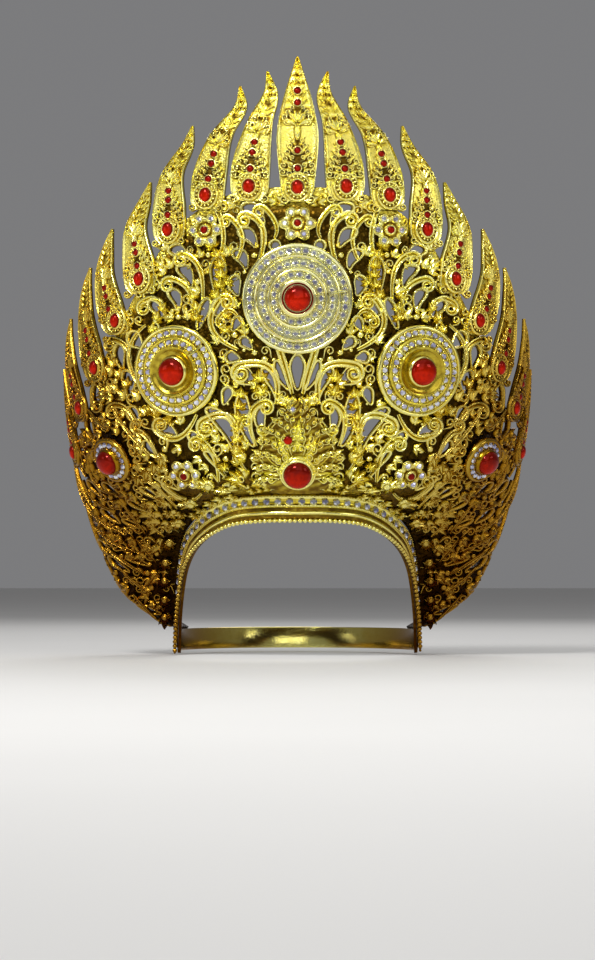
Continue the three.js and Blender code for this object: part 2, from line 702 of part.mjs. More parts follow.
function crestPiece() {
  const low = WALL_THICKNESS / 2 + SEAT_GAP;
  const parts = [disc(0, FRONT_STONE.up, low, 12, [[12.5, 0], [12.5, 4], [10.2, 7], [9.3, 7]], 1)];
  for (const row of CREST_LEAVES) {
    for (const { hand } of hands(row.across)) {
      const angle = angleAt(row.across * hand, row.up);
      parts.push(leafSolid(angle, row.up, row, hand, low + 0.3, low + 6));
    }
  }
  return join(parts);
}
addPiece('front_crest', fromManifold(crestPiece()), 'gilt');
const frontSeat = WALL_THICKNESS / 2 + SEAT_GAP + 7 + STONE_GAP;
stone('front_stone', 0, FRONT_STONE.up, frontSeat, FRONT_STONE.radius, 12, 1);

// ---- Headband, its edge roll and the plain back band ----
function bandPoint(angle, up, out) {
  const depth = Math.abs(angle) > 90 ? HEAD_BACK_DEPTH : HEAD_HALF_DEPTH;
  const x = (HEAD_HALF_WIDTH + out) * Math.sin(rad(angle));
  const y = -(depth + out) * Math.cos(rad(angle));
  return new THREE.Vector3(x, y, up);
}

const bandRows = [
  ...BAND.slice(1).reverse().map((row) => ({ ...row, hand: -1 })),
  ...BAND.map((row) => ({ ...row, hand: 1 })),
];

// Band section from the lower edge (0) to the top edge (1), and how far each line stands out.
const BAND_SECTION = [
  { across: 0, out: -1 },
  { across: 0, out: 1 },
  { across: 0.3, out: 1.4 },
  { across: 0.42, out: 2.6 },
  { across: 0.78, out: 2.6 },
  { across: 1, out: 1.2 },
  { across: 1, out: -1 },
];

// The band's mouldings sink away where it narrows to the temple tip.
function bandRing(row) {
  const width = Math.hypot((row.topAngle - row.edgeAngle) * 1.5, row.topUp - row.edgeUp);
  const raised = Math.min(1, width / 9);
  return BAND_SECTION.map(({ across, out }) => {
    const angle = row.edgeAngle + (row.topAngle - row.edgeAngle) * across;
    const up = row.edgeUp + (row.topUp - row.edgeUp) * across;
    return bandPoint(angle * row.hand, up, out > 1 ? 1 + (out - 1) * raised : out);
  });
}
addPiece('headband', skin(bandRows.map(bandRing)), 'gilt');

const rollOut = 1.1 + SEAT_GAP + EDGE_ROLL_RADIUS;
const rollPath = bandRows.map((row) => bandPoint(row.edgeAngle * row.hand, row.edgeUp - 0.6, rollOut));
const rollRings = rollPath.map((point, i) => {
  const next = rollPath[Math.min(i + 1, rollPath.length - 1)];
  const last = rollPath[Math.max(i - 1, 0)];
  const along = next.clone().sub(last).normalize();
  const out = new THREE.Vector3(point.x, point.y, 0).normalize();
  out.addScaledVector(along, -out.dot(along)).normalize();
  const side = new THREE.Vector3().crossVectors(along, out);
  return Array.from({ length: 5 }, (_, k) => point.clone()
    .addScaledVector(out, EDGE_ROLL_RADIUS * Math.cos((2 * Math.PI * k) / 5))
    .addScaledVector(side, EDGE_ROLL_RADIUS * Math.sin((2 * Math.PI * k) / 5)));
});
addPiece('beaded_edge', skin(rollRings), 'gilt');

// The back band starts at each temple on the same slant as the headband's end.
const backRings = [];
for (let i = 0; i <= 18; i += 1) {
  const slant = 0.9 * Math.cos((Math.PI * i) / 18);
  const angle = 89.5 + (181 * i) / 18;
  const corners = [[BACK_BAND_LOW, -1], [BACK_BAND_LOW, 1], [BACK_BAND_HIGH, 1], [BACK_BAND_HIGH, -1]];
  backRings.push(corners.map(([up, out]) => {
    const turn = angle + (up === BACK_BAND_HIGH ? slant : -slant);
    return bandPoint(turn > 180 ? turn - 360 : turn, up, out);
  }));
}
addPiece('back_band', skin(backRings), 'gilt');

export default group;
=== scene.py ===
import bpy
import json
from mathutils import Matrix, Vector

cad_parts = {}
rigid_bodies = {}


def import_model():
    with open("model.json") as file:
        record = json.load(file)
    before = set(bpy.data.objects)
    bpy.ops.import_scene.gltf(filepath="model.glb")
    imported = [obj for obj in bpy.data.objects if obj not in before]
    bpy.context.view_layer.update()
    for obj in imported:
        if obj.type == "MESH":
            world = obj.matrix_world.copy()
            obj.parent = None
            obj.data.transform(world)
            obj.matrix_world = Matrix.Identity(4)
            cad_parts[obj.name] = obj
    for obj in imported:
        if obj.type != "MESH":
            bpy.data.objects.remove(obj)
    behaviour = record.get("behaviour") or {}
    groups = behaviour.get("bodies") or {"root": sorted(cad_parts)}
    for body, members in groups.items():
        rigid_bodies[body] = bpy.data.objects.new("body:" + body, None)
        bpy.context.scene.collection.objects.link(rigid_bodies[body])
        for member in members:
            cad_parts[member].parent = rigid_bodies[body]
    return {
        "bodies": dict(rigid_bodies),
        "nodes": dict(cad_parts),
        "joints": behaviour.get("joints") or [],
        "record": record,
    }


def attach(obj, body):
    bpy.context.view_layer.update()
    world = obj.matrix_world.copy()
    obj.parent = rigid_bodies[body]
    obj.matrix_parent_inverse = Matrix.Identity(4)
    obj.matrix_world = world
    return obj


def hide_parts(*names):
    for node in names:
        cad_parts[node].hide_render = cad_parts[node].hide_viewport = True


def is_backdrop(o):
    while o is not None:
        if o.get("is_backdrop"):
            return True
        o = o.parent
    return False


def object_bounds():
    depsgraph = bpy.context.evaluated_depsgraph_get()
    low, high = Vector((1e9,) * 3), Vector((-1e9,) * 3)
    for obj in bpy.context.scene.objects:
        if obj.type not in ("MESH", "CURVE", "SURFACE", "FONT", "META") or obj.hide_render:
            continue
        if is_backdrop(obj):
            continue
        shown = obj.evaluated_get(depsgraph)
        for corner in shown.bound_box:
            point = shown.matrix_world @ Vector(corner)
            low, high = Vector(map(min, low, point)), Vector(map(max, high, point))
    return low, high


bl_info = {
    "name": "Thai Headdress",
    "version": (1, 0, 0),
    "blender": (4, 5, 0),
    "location": "View3D > Sidebar > Headdress",
    "description": "Dresses the packed headdress with cast gilt openwork, stones and bands",
    "category": "Object",
}

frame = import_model()

import json
from functools import partial

import bmesh
import bpy
import numpy as np
from bpy.props import FloatProperty, FloatVectorProperty, IntProperty, PointerProperty
from mathutils import Vector

CAD_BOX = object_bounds()
MM = 0.001
# How far inside the frame's box, in metres, every point is kept, and the angle over which an edge is sharp.
BOX_INSET = 0.0002
SHARP_ANGLE = 52

# ---- Sizes of the crown, in millimetres and degrees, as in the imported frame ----
# Middle line of the headband: half width, and half depth in front and behind.
BAND_HALF_WIDTH, BAND_HALF_DEPTH, BACK_HALF_DEPTH = 82, 95, 100
# Share of the way from the wall's foot to the flare's top, and how far the wall has flared out there.
FLARE_TOP = 150
FLARE = np.array([
    (0, 0), (0.05, 0.16), (0.12, 0.34), (0.22, 0.53), (0.32, 0.63), (0.52, 0.79), (0.78, 0.945), (1, 1),
])
# Height, half width and half depth of the wall from the flare's top up.
UPPER_WALL = np.array([
    (FLARE_TOP, 155, 119), (200, 161, 126), (250, 160, 129), (300, 156, 128), (350, 152, 124),
    (400, 148, 118),
])
# Headband: angle and height of its lower edge, then of its top edge.
BAND = np.array([
    (0, 92, 0, 110), (6, 92, 6, 110), (12, 92, 12, 110), (18.5, 91.6, 18.5, 109.6), (25, 91, 25, 109),
    (33, 89, 34, 107), (39, 86, 41, 104), (44, 83, 47, 100.5), (49, 79.5, 53, 96), (54, 75.5, 59, 91),
    (58.6, 71, 65, 86), (63, 65.5, 70, 79), (68, 57.5, 75, 69), (72, 48, 79, 58), (77, 34, 83, 42),
    (81, 22, 87, 28), (84, 12, 90, 18), (87, 1.5, 88, 2.5),
])
# Angle and height of the wall's foot, which stands on the headband, and of its top edge.
WALL_FOOT = np.vstack([BAND[:17, 2:], [(96, 18), (103, 18), (180, 18)]])
WALL_TOP = np.array([
    (0, 311), (12, 310), (22, 302), (32, 283), (39.5, 254), (47.5, 222), (56, 193), (64, 168), (70, 151),
    (78, 119), (88, 79), (98, 48), (112, 25),
])
# The wall's five panels: first and last angle, and the room left at each seam.
PANELS = {
    "wall_front": (-30.6, 30.6), "wall_shoulder_left": (30.6, 53), "wall_shoulder_right": (-53, -30.6),
    "wall_side_left": (53, 111), "wall_side_right": (-111, -53),
}
PANEL_SEAM = 0.04
# Cells of a panel: millimetres to a degree, and rows in front and at the sides.
PANEL_PITCH, FRONT_ROWS, SIDE_ROWS = 2.45, 150, 110
# How far the back of a casting stands out from the middle of the wall: discs and crest, flames, rear flames.
PLATE_BACK, FLAME_BACK, REAR_BACK = 1.5, 1.7, 0.2
# Flames from the middle outwards: across and up of the stone, height of the tip, how far across the midline
# lies at each share of the way up, whether the foot is slim, and half width. A foot lies below its stone.
FLAME_SHARES = np.array([0, 0.3, 0.6, 0.85, 1])
FLAME_FOOT = 9.5
FLAMES = np.array([
    (0, 310, 398, 0, 0, 0, 0, 0, 1, 13.8),
    (31.4, 311, 388, 31.4, 29.9, 24.5, 17.3, 19.6, 0, 13),
    (59.5, 306, 378.5, 59.5, 56.8, 49.5, 36.6, 37.3, 0, 12),
    (84, 284.5, 353, 84, 83.8, 81.5, 71.3, 68.4, 0, 12.2),
    (103, 252.5, 317, 103, 104.6, 106.2, 99.8, 96.5, 0, 13),
    (119, 226, 288, 119, 124.5, 127.5, 125, 122.5, 0, 12.6),
    (133.5, 196, 263.5, 133.5, 138, 141, 140, 138, 0, 12.4),
    (144.5, 170, 231, 144.5, 149, 152.5, 153.3, 152.5, 0, 12),
    (149.5, 141, 198, 146.5, 152, 155, 157.2, 158.5, 1, 10.2),
])
# Share along a flame, width there with a broad foot and with a slim one, and how high its rim stands.
FLAME_WIDTH = np.array([
    (0, 0.93, 0.74, 0), (0.14, 1, 0.84, 1), (0.3, 0.98, 0.95, 1.4), (0.45, 0.84, 1, 1.3),
    (0.6, 0.67, 0.86, 1.2), (0.74, 0.52, 0.62, 1), (0.87, 0.3, 0.34, 0.7), (1, 0.05, 0.05, 0),
])
# Low flames behind the temples: angle, height, lean, length, half width.
REAR_FLAMES = np.array([(83, 104, 7, 46, 6.5), (91, 78, 8, 42, 6.5), (99.5, 52, 8, 36, 6)])
# Foliage on a flame: share of its length, side, size in millimetres and turn.
FLAME_CURLS = np.array([
    (0.015, 0.84, 2.7, 118), (0.2, 0.78, 2.5, 104), (0.19, 0.42, 2.2, 96), (0.185, 0.14, 1.8, 90),
    (0.245, 0.72, 2.3, 84), (0.29, 0.6, 2.2, 76), (0.335, 0.47, 2.1, 66), (0.38, 0.34, 1.9, 56),
    (0.42, 0.2, 1.7, 44), (0.25, 0.34, 2.0, 76), (0.3, 0.26, 1.8, 64), (0.345, 0.18, 1.6, 50),
    (0.545, 0.55, 2.0, 84), (0.575, 0.66, 2.1, 74), (0.61, 0.5, 1.9, 62), (0.64, 0.3, 1.6, 44),
    (0.585, 0.28, 1.7, 56),
])
FLAME_LEAVES = np.array([
    (0.21, 0.3, 6.5, 66), (0.25, 0.3, 7, 50), (0.29, 0.25, 7, 38), (0.335, 0.18, 7, 28), (0.38, 0.1, 7, 16),
    (0.42, 0, 9, 2), (0.46, 0, 8, 0), (0.52, 0.1, 8.5, 42), (0.54, 0.05, 9.5, 22), (0.55, 0, 9, 4),
    (0.53, 0.2, 7.5, 64), (0.665, 0.3, 5.2, 24), (0.71, 0.28, 5, 22), (0.755, 0.25, 4.6, 20),
    (0.8, 0.22, 4.2, 17), (0.845, 0.15, 3.8, 13),
])
# Gaps on the front and shoulders: across, up, length, width, turn, bow.
GAPS = np.array([
    (9.5, 187, 20, 3.8, 25, 1.5), (33.5, 186, 14, 10, 60, 0), (17.5, 181, 22, 5.2, 25, -2),
    (33, 158, 34, 8, 10, 2), (22.5, 157, 18, 5.4, 5, 2), (50, 150, 36, 8.5, 28, -5),
    (54, 130, 19, 4.4, 15, -1.5), (42.5, 199, 8, 6, 80, 0), (46.5, 174, 11, 5.5, -20, 0),
    (67, 146, 10, 5.5, 40, 0), (29, 292, 19, 8, 45, -2.5), (32.5, 277, 15, 7, 45, -2),
    (37.5, 263, 14, 6.5, 35, -2), (14, 271, 8, 5.5, 30, 0), (52, 252, 25, 9, 0, 0),
    (40, 246, 12, 7, 10, 1), (62, 228, 20, 5.5, -20, 0), (49, 230, 16, 8.5, 30, 1),
    (40, 221, 9, 5, -30, 0), (33.5, 208, 9, 5.5, 45, 0), (78, 268, 15, 6.5, 60, -2),
    (74, 253, 16, 6.5, 35, -2.5), (81, 238, 14, 6.5, 25, -2), (93, 232, 14, 8, 40, -2),
    (107, 212, 13, 9, 50, 0), (118, 202, 15, 8, 10, 0), (113, 184, 16, 9, 0, -2),
    (108, 162, 13, 8, 30, 0), (86, 151, 13, 6.5, 70, -2), (97, 140, 12, 6.5, 30, 1),
    (134, 176, 16, 9, 10, 1), (139, 156, 14, 8, 20, 1),
])
# The one gap on the middle line, as a row of the table of all gaps: angle and so on as above, then the hand.
MIDDLE_GAP = [(0, 189, 22, 8, 0, 0, 1)]
# Rows of gaps round the sides: height above the foot, from and to angle, count, length, width, turn.
SIDE_GAPS = np.array([(15, 42, 100, 7, 12, 6, 25), (31, 57, 95, 5, 13, 7, 32), (47, 63, 87, 3, 13, 7, 25)])
# Outline of a gap of length and width one: a comma.
GAP_POINTS = np.array([
    (-0.5, 0), (-0.2, 0.3), (0.15, 0.5), (0.4, 0.34), (0.5, 0), (0.4, -0.34), (0.15, -0.5), (-0.2, -0.3),
])
# Scroll arms: start, middle and end in front view, half width, radius of the curl and which way it winds.
# Points of an arm in all, and on its open part before the curl.
SCROLL_STEPS, ARM_STEPS = 32, 15
SCROLLS = np.array([
    (3.5, 175, 7.5, 190, 13, 208, 2.5, 1.8, 1), (14, 168, 17, 191, 38, 194, 2.6, 5.6, -1),
    (27, 141, 31, 160, 22, 170, 2.2, 4.4, 1), (42, 130, 43, 158, 62, 158, 2.5, 5.4, -1),
    (52, 119, 55, 136, 65, 146, 2.1, 4, -1), (39, 204, 56, 219, 50, 238, 2.2, 4.6, 1),
    (37, 222, 44, 230, 52, 224, 1.6, 3.2, -1), (28, 254, 22, 280, 33, 293, 2.3, 4.4, -1),
    (15, 277, 14, 286, 21.5, 297, 1.8, 4.4, -1), (40, 262, 36, 278, 44, 291, 1.9, 3.8, -1),
    (62, 236, 64, 258, 75, 268, 2.1, 4.4, -1), (68, 226, 71, 244, 84, 252, 2.1, 4.4, -1),
    (86, 224, 92, 238, 103, 237, 2, 4.4, -1), (66, 162, 78, 147, 93, 152, 2.2, 4.6, 1),
    (100, 222, 111, 206, 106, 186, 2.1, 4.4, -1), (110, 195, 113, 208, 123, 214, 2, 4.2, -1),
    (104, 150, 112, 166, 123, 170, 2.1, 4.4, -1), (90, 128, 98, 146, 106, 152, 2, 4, 1),
    (8, 146, 11, 158, 20, 150, 1.7, 3.4, 1), (52, 262, 48, 278, 52, 296, 1.9, 4.2, 1),
    (34, 126, 40, 140, 37, 158, 1.8, 3.6, 1), (64, 112, 74, 108, 88, 116, 1.9, 4, 1),
    (128, 196, 136, 186, 137, 170, 1.9, 3.8, -1),
])
# Long ribs down the sides: start, middle and end in front view, half width.
SWEEPS = np.array([
    (123, 169, 112, 152, 97, 137, 1.7), (141, 136, 136, 119, 121, 112, 1.6),
    (146, 122, 138, 108, 125, 102, 1.4), (144, 106, 134, 94, 119, 86, 1.5),
    (100, 120, 92, 115, 81, 103, 1.6), (138, 90, 127, 80, 111, 73, 1.4), (105, 94, 98, 90, 91, 84, 1.5),
    (131, 76, 120, 67, 105, 57, 1.5), (122, 62, 112, 52, 100, 44, 1.3),
    (152, 150, 150, 138, 143, 124, 1.3), (118, 106, 112, 98, 104, 86, 1.3),
    (110, 82, 104, 74, 97, 66, 1.3), (140, 168, 131, 158, 124, 154, 1.5), (113, 44, 105, 34, 96, 26, 1.2),
])
# Columns of foliage: start, middle and end in front view, how many sprays, leaf length.
FOLIAGE = np.array([
    (38, 128, 39, 152, 36, 178, 7, 7.5), (55, 236, 50, 256, 58, 276, 6, 7.5),
    (67, 222, 66, 232, 70, 244, 3, 7), (22, 172, 24, 180, 24, 192, 2, 9),
    (59, 138, 61, 146, 60, 154, 3, 6.5), (46, 212, 47, 222, 45, 230, 2, 7),
    (46, 236, 46, 244, 44, 252, 2, 6.5), (88, 136, 98, 128, 110, 120, 4, 8),
    (9, 115, 20, 115, 33, 112.5, 5, 5), (80, 158, 92, 162, 100, 168, 3, 7),
    (96, 214, 92, 226, 86, 234, 3, 7), (110, 180, 118, 190, 124, 200, 3, 7.5),
    (40, 110, 56, 107, 70, 98, 4, 7), (66, 98, 80, 99, 92, 100, 3, 6.5),
    (80, 112, 94, 108, 108, 104, 3, 7),
])
# Leafy bosses above the headband: across, up, size, turn.
LEAF_BOSSES = np.array([
    (36.5, 121, 11, 62), (24, 119, 7.5, 82), (58, 118, 10, 60), (47, 115, 7, 80), (71, 107, 9, 66),
    (80, 94, 8.5, 74), (87, 80, 8, 82), (90, 66, 7.5, 88), (91, 53, 7, 92), (91, 40, 7, 96),
    (46, 127, 7.5, 22), (66, 118, 6.5, 40), (91, 28, 6.5, 100),
])
# Leaves of a boss and of a spray: turn from its own, length as a share, hook.
BOSS_LOBES = (
    (-75, 0.55, -0.3), (75, 0.55, 0.3), (-48, 0.75, -0.25), (48, 0.75, 0.25), (-22, 0.95, -0.2),
    (22, 0.95, 0.2), (0, 1.05, 0.1),
)
SPRAY_LEAVES = ((-70, 0.8, -0.3), (70, 0.8, 0.3), (-34, 1, -0.25), (34, 1, 0.25), (0, 1.15, 0.1))
# Leaves of the crest: root across and up, length, turn. Small curls over it: across, up, radius, turn.
CREST_LEAVES = np.array([(0, 138, 24, 0), (5, 134, 20, 24), (8, 129, 16, 50), (8, 123, 15, 76)])
CREST_CURLS = np.array([
    (2.6, 140, 2.3, 20), (3.0, 146, 2.2, 24), (6.8, 141, 2.3, 46), (7.5, 135, 2.3, 60), (12, 133, 2.2, 70),
    (11, 127, 2.2, 86), (3.2, 170, 1.5, 20), (2.4, 164, 1.6, 30), (5.2, 166, 1.6, 50), (3.0, 158, 1.8, 24),
    (6.6, 160, 1.8, 50), (10, 163, 1.6, 70), (2.6, 151, 1.9, 16), (6.6, 153, 1.9, 40),
    (10.6, 156, 1.9, 60), (14.5, 158, 1.7, 80), (8.5, 146, 2.0, 44), (12.5, 149, 2.0, 60),
    (16.6, 151, 1.9, 76), (20.5, 152, 1.6, 90), (10.5, 139.5, 2.1, 52), (14.6, 142.5, 2.0, 66),
    (19, 144.5, 1.9, 80), (23, 144, 1.7, 96), (14.5, 135, 2.1, 74), (19, 137, 2.0, 86),
    (23.2, 137, 1.9, 100), (27, 135, 1.7, 106), (16.2, 128.6, 2.1, 90), (20.6, 129.6, 2.0, 98),
    (25, 128.6, 1.9, 108), (17, 121.5, 2.1, 106), (21.4, 122, 2.0, 112), (25.8, 120.5, 1.8, 118),
])
# Medallions: across, up, radius of the ruby and how high it sits, rows of clear stones as (radius, count,
# height), painted shade of the ground under them, joint of the strips as (turn, turn by hand, first and last
# radius), and middle and half width of the trough in painted shade.
MEDALLIONS = {
    "centre": dict(
        across=0, up=237, ruby=7.6, seat=14.3, rows=((31.6, 36, 5.0), (23.2, 27, 7.2), (15.5, 17, 9.6)),
        floor=0.7, strip=(9, 0, 21, 33)),
    "side": dict(
        across=79, up=191, ruby=8.0, seat=11.3, rows=((25.5, 32, 5.0), (19.1, 22, 7.0)),
        floor=0.42, strip=(90, 52, 16, 27.5), trough=(13, 2.8)),
    "far": dict(across=123, up=134.7, ruby=7.2, seat=9.2, rows=((11.5, 16, 5.0),), floor=0.42),
}
# Profiles of the medallions, as (radius, height).
LATHE_PROFILES = {
    "centre": [
        (36.3, 0), (36.5, 0.6), (36.5, 2.6), (36, 3.7), (35, 4.3), (34.2, 4.0), (33.7, 3.2), (29.6, 3.2),
        (29.1, 4.6), (28.5, 6.2), (27.8, 6.6), (27.0, 6.2), (26.5, 5.4), (20.6, 5.4), (20.2, 7.2),
        (19.6, 8.7), (18.9, 9.0), (18.1, 8.6), (17.6, 7.8), (13.3, 7.8), (13.0, 10.2), (12.5, 12.0),
        (11.6, 12.5), (10.4, 12.3), (9.4, 11.6), (9.2, 10.6),
    ],
    "side": [
        (30.3, 0), (30.5, 0.6), (30.5, 2.6), (30, 3.6), (29, 4.2), (28.2, 3.9), (27.7, 3.2), (23.3, 3.2),
        (23.0, 4.8), (22.5, 6.0), (21.8, 6.2), (21.2, 5.9), (20.9, 5.2), (17.2, 5.2), (16.9, 7.0),
        (16.4, 8.1), (15.6, 8.2), (14.4, 7.1), (12.6, 6.2), (11.0, 6.1), (10.5, 7.6), (10.0, 9.1),
        (9.2, 9.5), (8.6, 9.0), (8.4, 8.0),
    ],
    "far": [
        (15.8, 0), (16, 0.6), (16, 2.4), (15.5, 3.7), (14.4, 4.3), (13.6, 4.0), (13.3, 3.4), (9.8, 3.4),
        (9.5, 5.4), (9.1, 6.9), (8.5, 7.4), (7.8, 7.1), (7.5, 6.2),
    ],
}
# Rosettes: across, up, radius. The stones of the petals stand on one circle, each in a cup.
ROSETTES = {"top": (0, 286.5, 12.5), "upper": (60, 283, 12), "lower": (74, 124, 11.5)}
PETALS, PETAL_RADIUS = 6, 8.4
ROSETTE_PROFILE = np.array([
    (0.97, 0), (1, 0.9), (0.93, 2.0), (0.8, 2.7), (0.62, 2.6), (0.45, 2.0), (0.36, 1.9), (0.33, 3.2),
    (0.26, 4.2), (0.2, 4.1),
])
# Painted shade of the rosette's profile points, and below it of a cup's.
ROSETTE_SHADE = [0.1, 0.5, 1, 0.9, 0.6, 0.15, 0.2, 0.9, 1, 0.8]
CUP = [(3.2, 0), (3.25, 0.8), (2.8, 1.3), (2.3, 1.0), (2.1, 0.4)]
CUP_SHADE = [0.3, 0.8, 1, 0.6, 0.2]
# The ring round a flame's stone and the bezel of the front stone, with the painted shade of each profile
# point.
FLAME_RING = [
    (9, 2.1), (9, 3.4), (8.6, 4.5), (8.0, 5.0), (7.4, 4.7), (7.0, 4.0), (5.7, 4.1), (5.2, 5.3), (4.6, 5.8),
    (4.0, 5.6), (3.7, 5.1),
]
FLAME_RING_SHADE = [0.1, 0.3, 0.8, 1, 0.7, 0.15, 0.25, 0.9, 1, 0.7, 0.3]
FRONT_STONE_UP = 125
BEZEL = [
    (12.3, 0), (12.5, 0.6), (12.5, 3.4), (12, 4.2), (11.3, 4.1), (10.9, 4.6), (10.6, 6.2), (10.1, 7.0),
    (9.5, 7.1), (9.2, 6.6), (9.0, 6.0),
]
BEZEL_SHADE = [0.2, 0.4, 0.9, 1, 0.3, 0.4, 0.8, 1, 1, 0.7, 0.3]
# Knobs on the leafy bosses farther aside than this, and collets of the small stones. Both profiles are in
# shares of a radius, and their shade lists are painted shade, one value to a profile point.
KNOBS_FROM = 55
KNOB = [(0.9, -0.6), (1, 0), (0.96, 0.35), (0.8, 0.75), (0.68, 0.8), (0.6, 0.98), (0.36, 1.22), (0.12, 1.3)]
KNOB_SHADE = [0.1, 0.4, 0.9, 1, 0.15, 0.6, 1, 1]
COLLET = [(1.46, -0.8), (1.46, 0.1), (1.34, 0.36), (1.18, 0.38), (1.06, 0.2), (1.02, -0.1)]
COLLET_SHADE = [0.1, 0.5, 1, 0.9, 0.4, 0.1]
# Beads and stones, as profiles in shares of their radius.
BEAD = [(0.94, -0.3), (1, 0.1), (0.8, 0.62), (0.36, 0.93)]
SPHERE = [(0.26, -0.96), (0.74, -0.68), (1, 0), (0.74, 0.68), (0.26, 0.96)]
CRYSTAL = [(0.9, -0.3), (1, 0.05), (0.98, 0.2), (0.56, 0.62)]
CABOCHON = [
    (1, -0.06), (1, 0.1), (0.97, 0.22), (0.9, 0.36), (0.78, 0.49), (0.62, 0.59), (0.42, 0.65), (0.2, 0.68),
    (0.05, 0.69),
]
# Section of the headband, as (share of its width, height), and of the band behind, as (height, distance out).
BAND_SECTION = np.array([
    (0, -1), (0, 0.7), (0.03, 1), (0.12, 1.2), (0.19, 1.3), (0.22, 2.2), (0.27, 2.5), (0.32, 2.2),
    (0.35, 1.4), (0.46, 1.3), (0.5, 2.2), (0.53, 2.5), (0.57, 2.2), (0.6, 1.6), (0.78, 1.6), (0.82, 2.3),
    (0.86, 2.5), (0.91, 2.2), (0.94, 1.6), (0.985, 1.3), (1, 0.9), (1, -1),
])
BACK_SECTION = np.array([
    (3, -1), (3, 0.6), (3.4, 1), (17.6, 1), (18, 0.6), (18, -0.6), (17.6, -1), (3.4, -1),
])
# Lines along the headband, as shares of its width: the beaded edge with its distance out, two milled ridges
# and the clear stones.
EDGE_LINE, MILLED_LINES, STONE_LINE = (-0.02, 3.3), (0.53, 0.885), 0.69
# Beads on the milled ridges and stones on their line: distance out, pitch, room left at each end, the angle
# that they stay under, and radius.
MILLING = dict(out=2.3, pitch=2.1, room=4, end=80, radius=0.85)
BAND_STONES = dict(out=2.0, pitch=8.0, room=5, end=82, radius=2.5)
# Beads of the lower edge, and the wire of close spheres under them: room left at each end, radius and painted
# shade.
EDGE_ROOM, EDGE_RADIUS, EDGE_SHADE = 2, 1.62, [0.1, 0.4, 0.7, 1, 1]
WIRE_PITCH, WIRE_ROOM, WIRE_RADIUS, WIRE_SHADE = 1.6, 0.5, 0.95, [0.1, 0.2, 0.3, 0.4, 0.4]
# Red stones other than the medallions': distance out, faces round, radius, height over width, and share of
# the painted light on them.
RUBIES = {
    "flame": (5.4, 24, 3.6, 1.3, 1.1), "front": (8.4, 40, 9.3, 1.0, 0.9), "rosette": (5.4, 16, 2.5, 1.0, 0.4),
    "crest": (8.2, 20, 2.9, 1.0, 1.0), "column": (PLATE_BACK + 2.8, 12, 2.2, 1.0, 0.4),
}
# Columns of small stones on the flames and the middle one: heights over the foot, and the flame's length.
FLAME_COLUMN, MIDDLE_COLUMN = ((21.5, 32.5, 39.5), 88), ((22, 34, 66, 74), 97.5)
# Two stones in the crest's foliage: across and up of the red one, then of the clear one, and how far out.
CREST_RUBY, CREST_CRYSTAL = (-6, 145), (-3, 165, 5.6)
# Sections of the relief, as (side, height): a grooved arm, a plain round one and two leaves with a midrib.
ARM = np.array([
    (-1, 0), (-0.95, 0.6), (-0.78, 0.94), (-0.5, 1), (-0.24, 0.8), (0, 0.45), (0.24, 0.8), (0.5, 1),
    (0.78, 0.94), (0.95, 0.6), (1, 0),
])
SMALL_ROUND = np.array([(-1, 0), (-0.82, 0.62), (-0.3, 1), (0.3, 1), (0.82, 0.62), (1, 0)])
LEAF = np.array([(-1, 0), (-0.84, 0.72), (-0.5, 0.42), (0, 1), (0.5, 0.42), (0.84, 0.72), (1, 0)])
SMALL_LEAF = np.array([(-1, 0), (-0.62, 0.66), (0, 1), (0.62, 0.66), (1, 0)])
# Small relief: the seed of its jitter, and the room that it keeps from the foot and top of the wall, from its
# last angle, gaps, discs and scroll arms. Curls and sprigs need more metal than beads do.
RELIEF_SEED = 11
FOOT_ROOM, TOP_ROOM, LAST_ANGLE = 3.5, 1.5, 109.5
GAP_ROOM, DISC_ROOM, ARM_ROOM, CURL_ROOM = 1.9, 2.2, 3.4, 3.2
# Draws of the random number below which a place gets a curl, and then a sprig; over both it gets a bead.
KIND_LIMITS = [0.4, 0.86]
# Gildings: roughness of the ridges and of the recesses, scale and depth of the fine pits, and wear.
GILDINGS = {
    "cast_gilding": (0.17, 0.42, 900, 0.5, 0.34), "plate_gilding": (0.22, 0.45, 420, 0.8, 0.26),
    "polished_gilding": (0.12, 0.3, 700, 0.14, 0.34), "pale_gilding": (0.14, 0.34, 700, 0.14, 0.34),
}
# Painted shade on the gilding: redder and darker on the flanks, browner low down on the sides. Each comes
# in over a range, in metres, of the distance aside plus a share of the height: share, first and last.
FLANK_SHADE, FLANK_SHADE_TINT = (-0.25, 0.035, 0.085), (1.0, 0.85, 0.45, 1)
LOW_SIDE_SHADE, LOW_SIDE_SHADE_TINT = (-0.45, 0.01, 0.072), (0.36, 0.2, 0.06, 1)
# Lights, in metres: place, size and share of the key light's power. The floor reaches this far each way.
LIGHTS = (
    ("key", (-0.55, -1.2, 1.3), 0.4, 1), ("front", (0.35, -2.2, 1.15), 1.7, 0.5),
    ("fill_left", (-1.4, -0.7, 0.5), 0.5, 0.08), ("fill_right", (1.3, -0.8, 0.75), 0.5, 0.14),
    ("back", (0.2, 1.2, 1.2), 0.7, 0.35), ("overhead", (0, -0.9, 3.0), 3.0, 0.8),
)
FLOOR_REACH = 15
SENSOR_WIDTH = 36


# ---- The wall's surface ----
def held(value):
    """A value held between nought and one."""
    return np.clip(value, 0, 1)


def smooth_read(x, y, at):
    """Value of a table at any place: a cubic curve through its points, sloped as its neighbours lie."""
    at = np.asarray(at, float)
    i = np.clip(np.searchsorted(x, at) - 1, 0, len(x) - 2)
    wide = x[i + 1] - x[i]
    t = held((at - x[i]) / wide)
    slope = np.gradient(y, x)
    return (
        y[i] * (1 + 2 * t) * (1 - t) ** 2 + slope[i] * wide * t * (1 - t) ** 2
        + y[i + 1] * t**2 * (3 - 2 * t) + slope[i + 1] * wide * t**2 * (t - 1)
    )


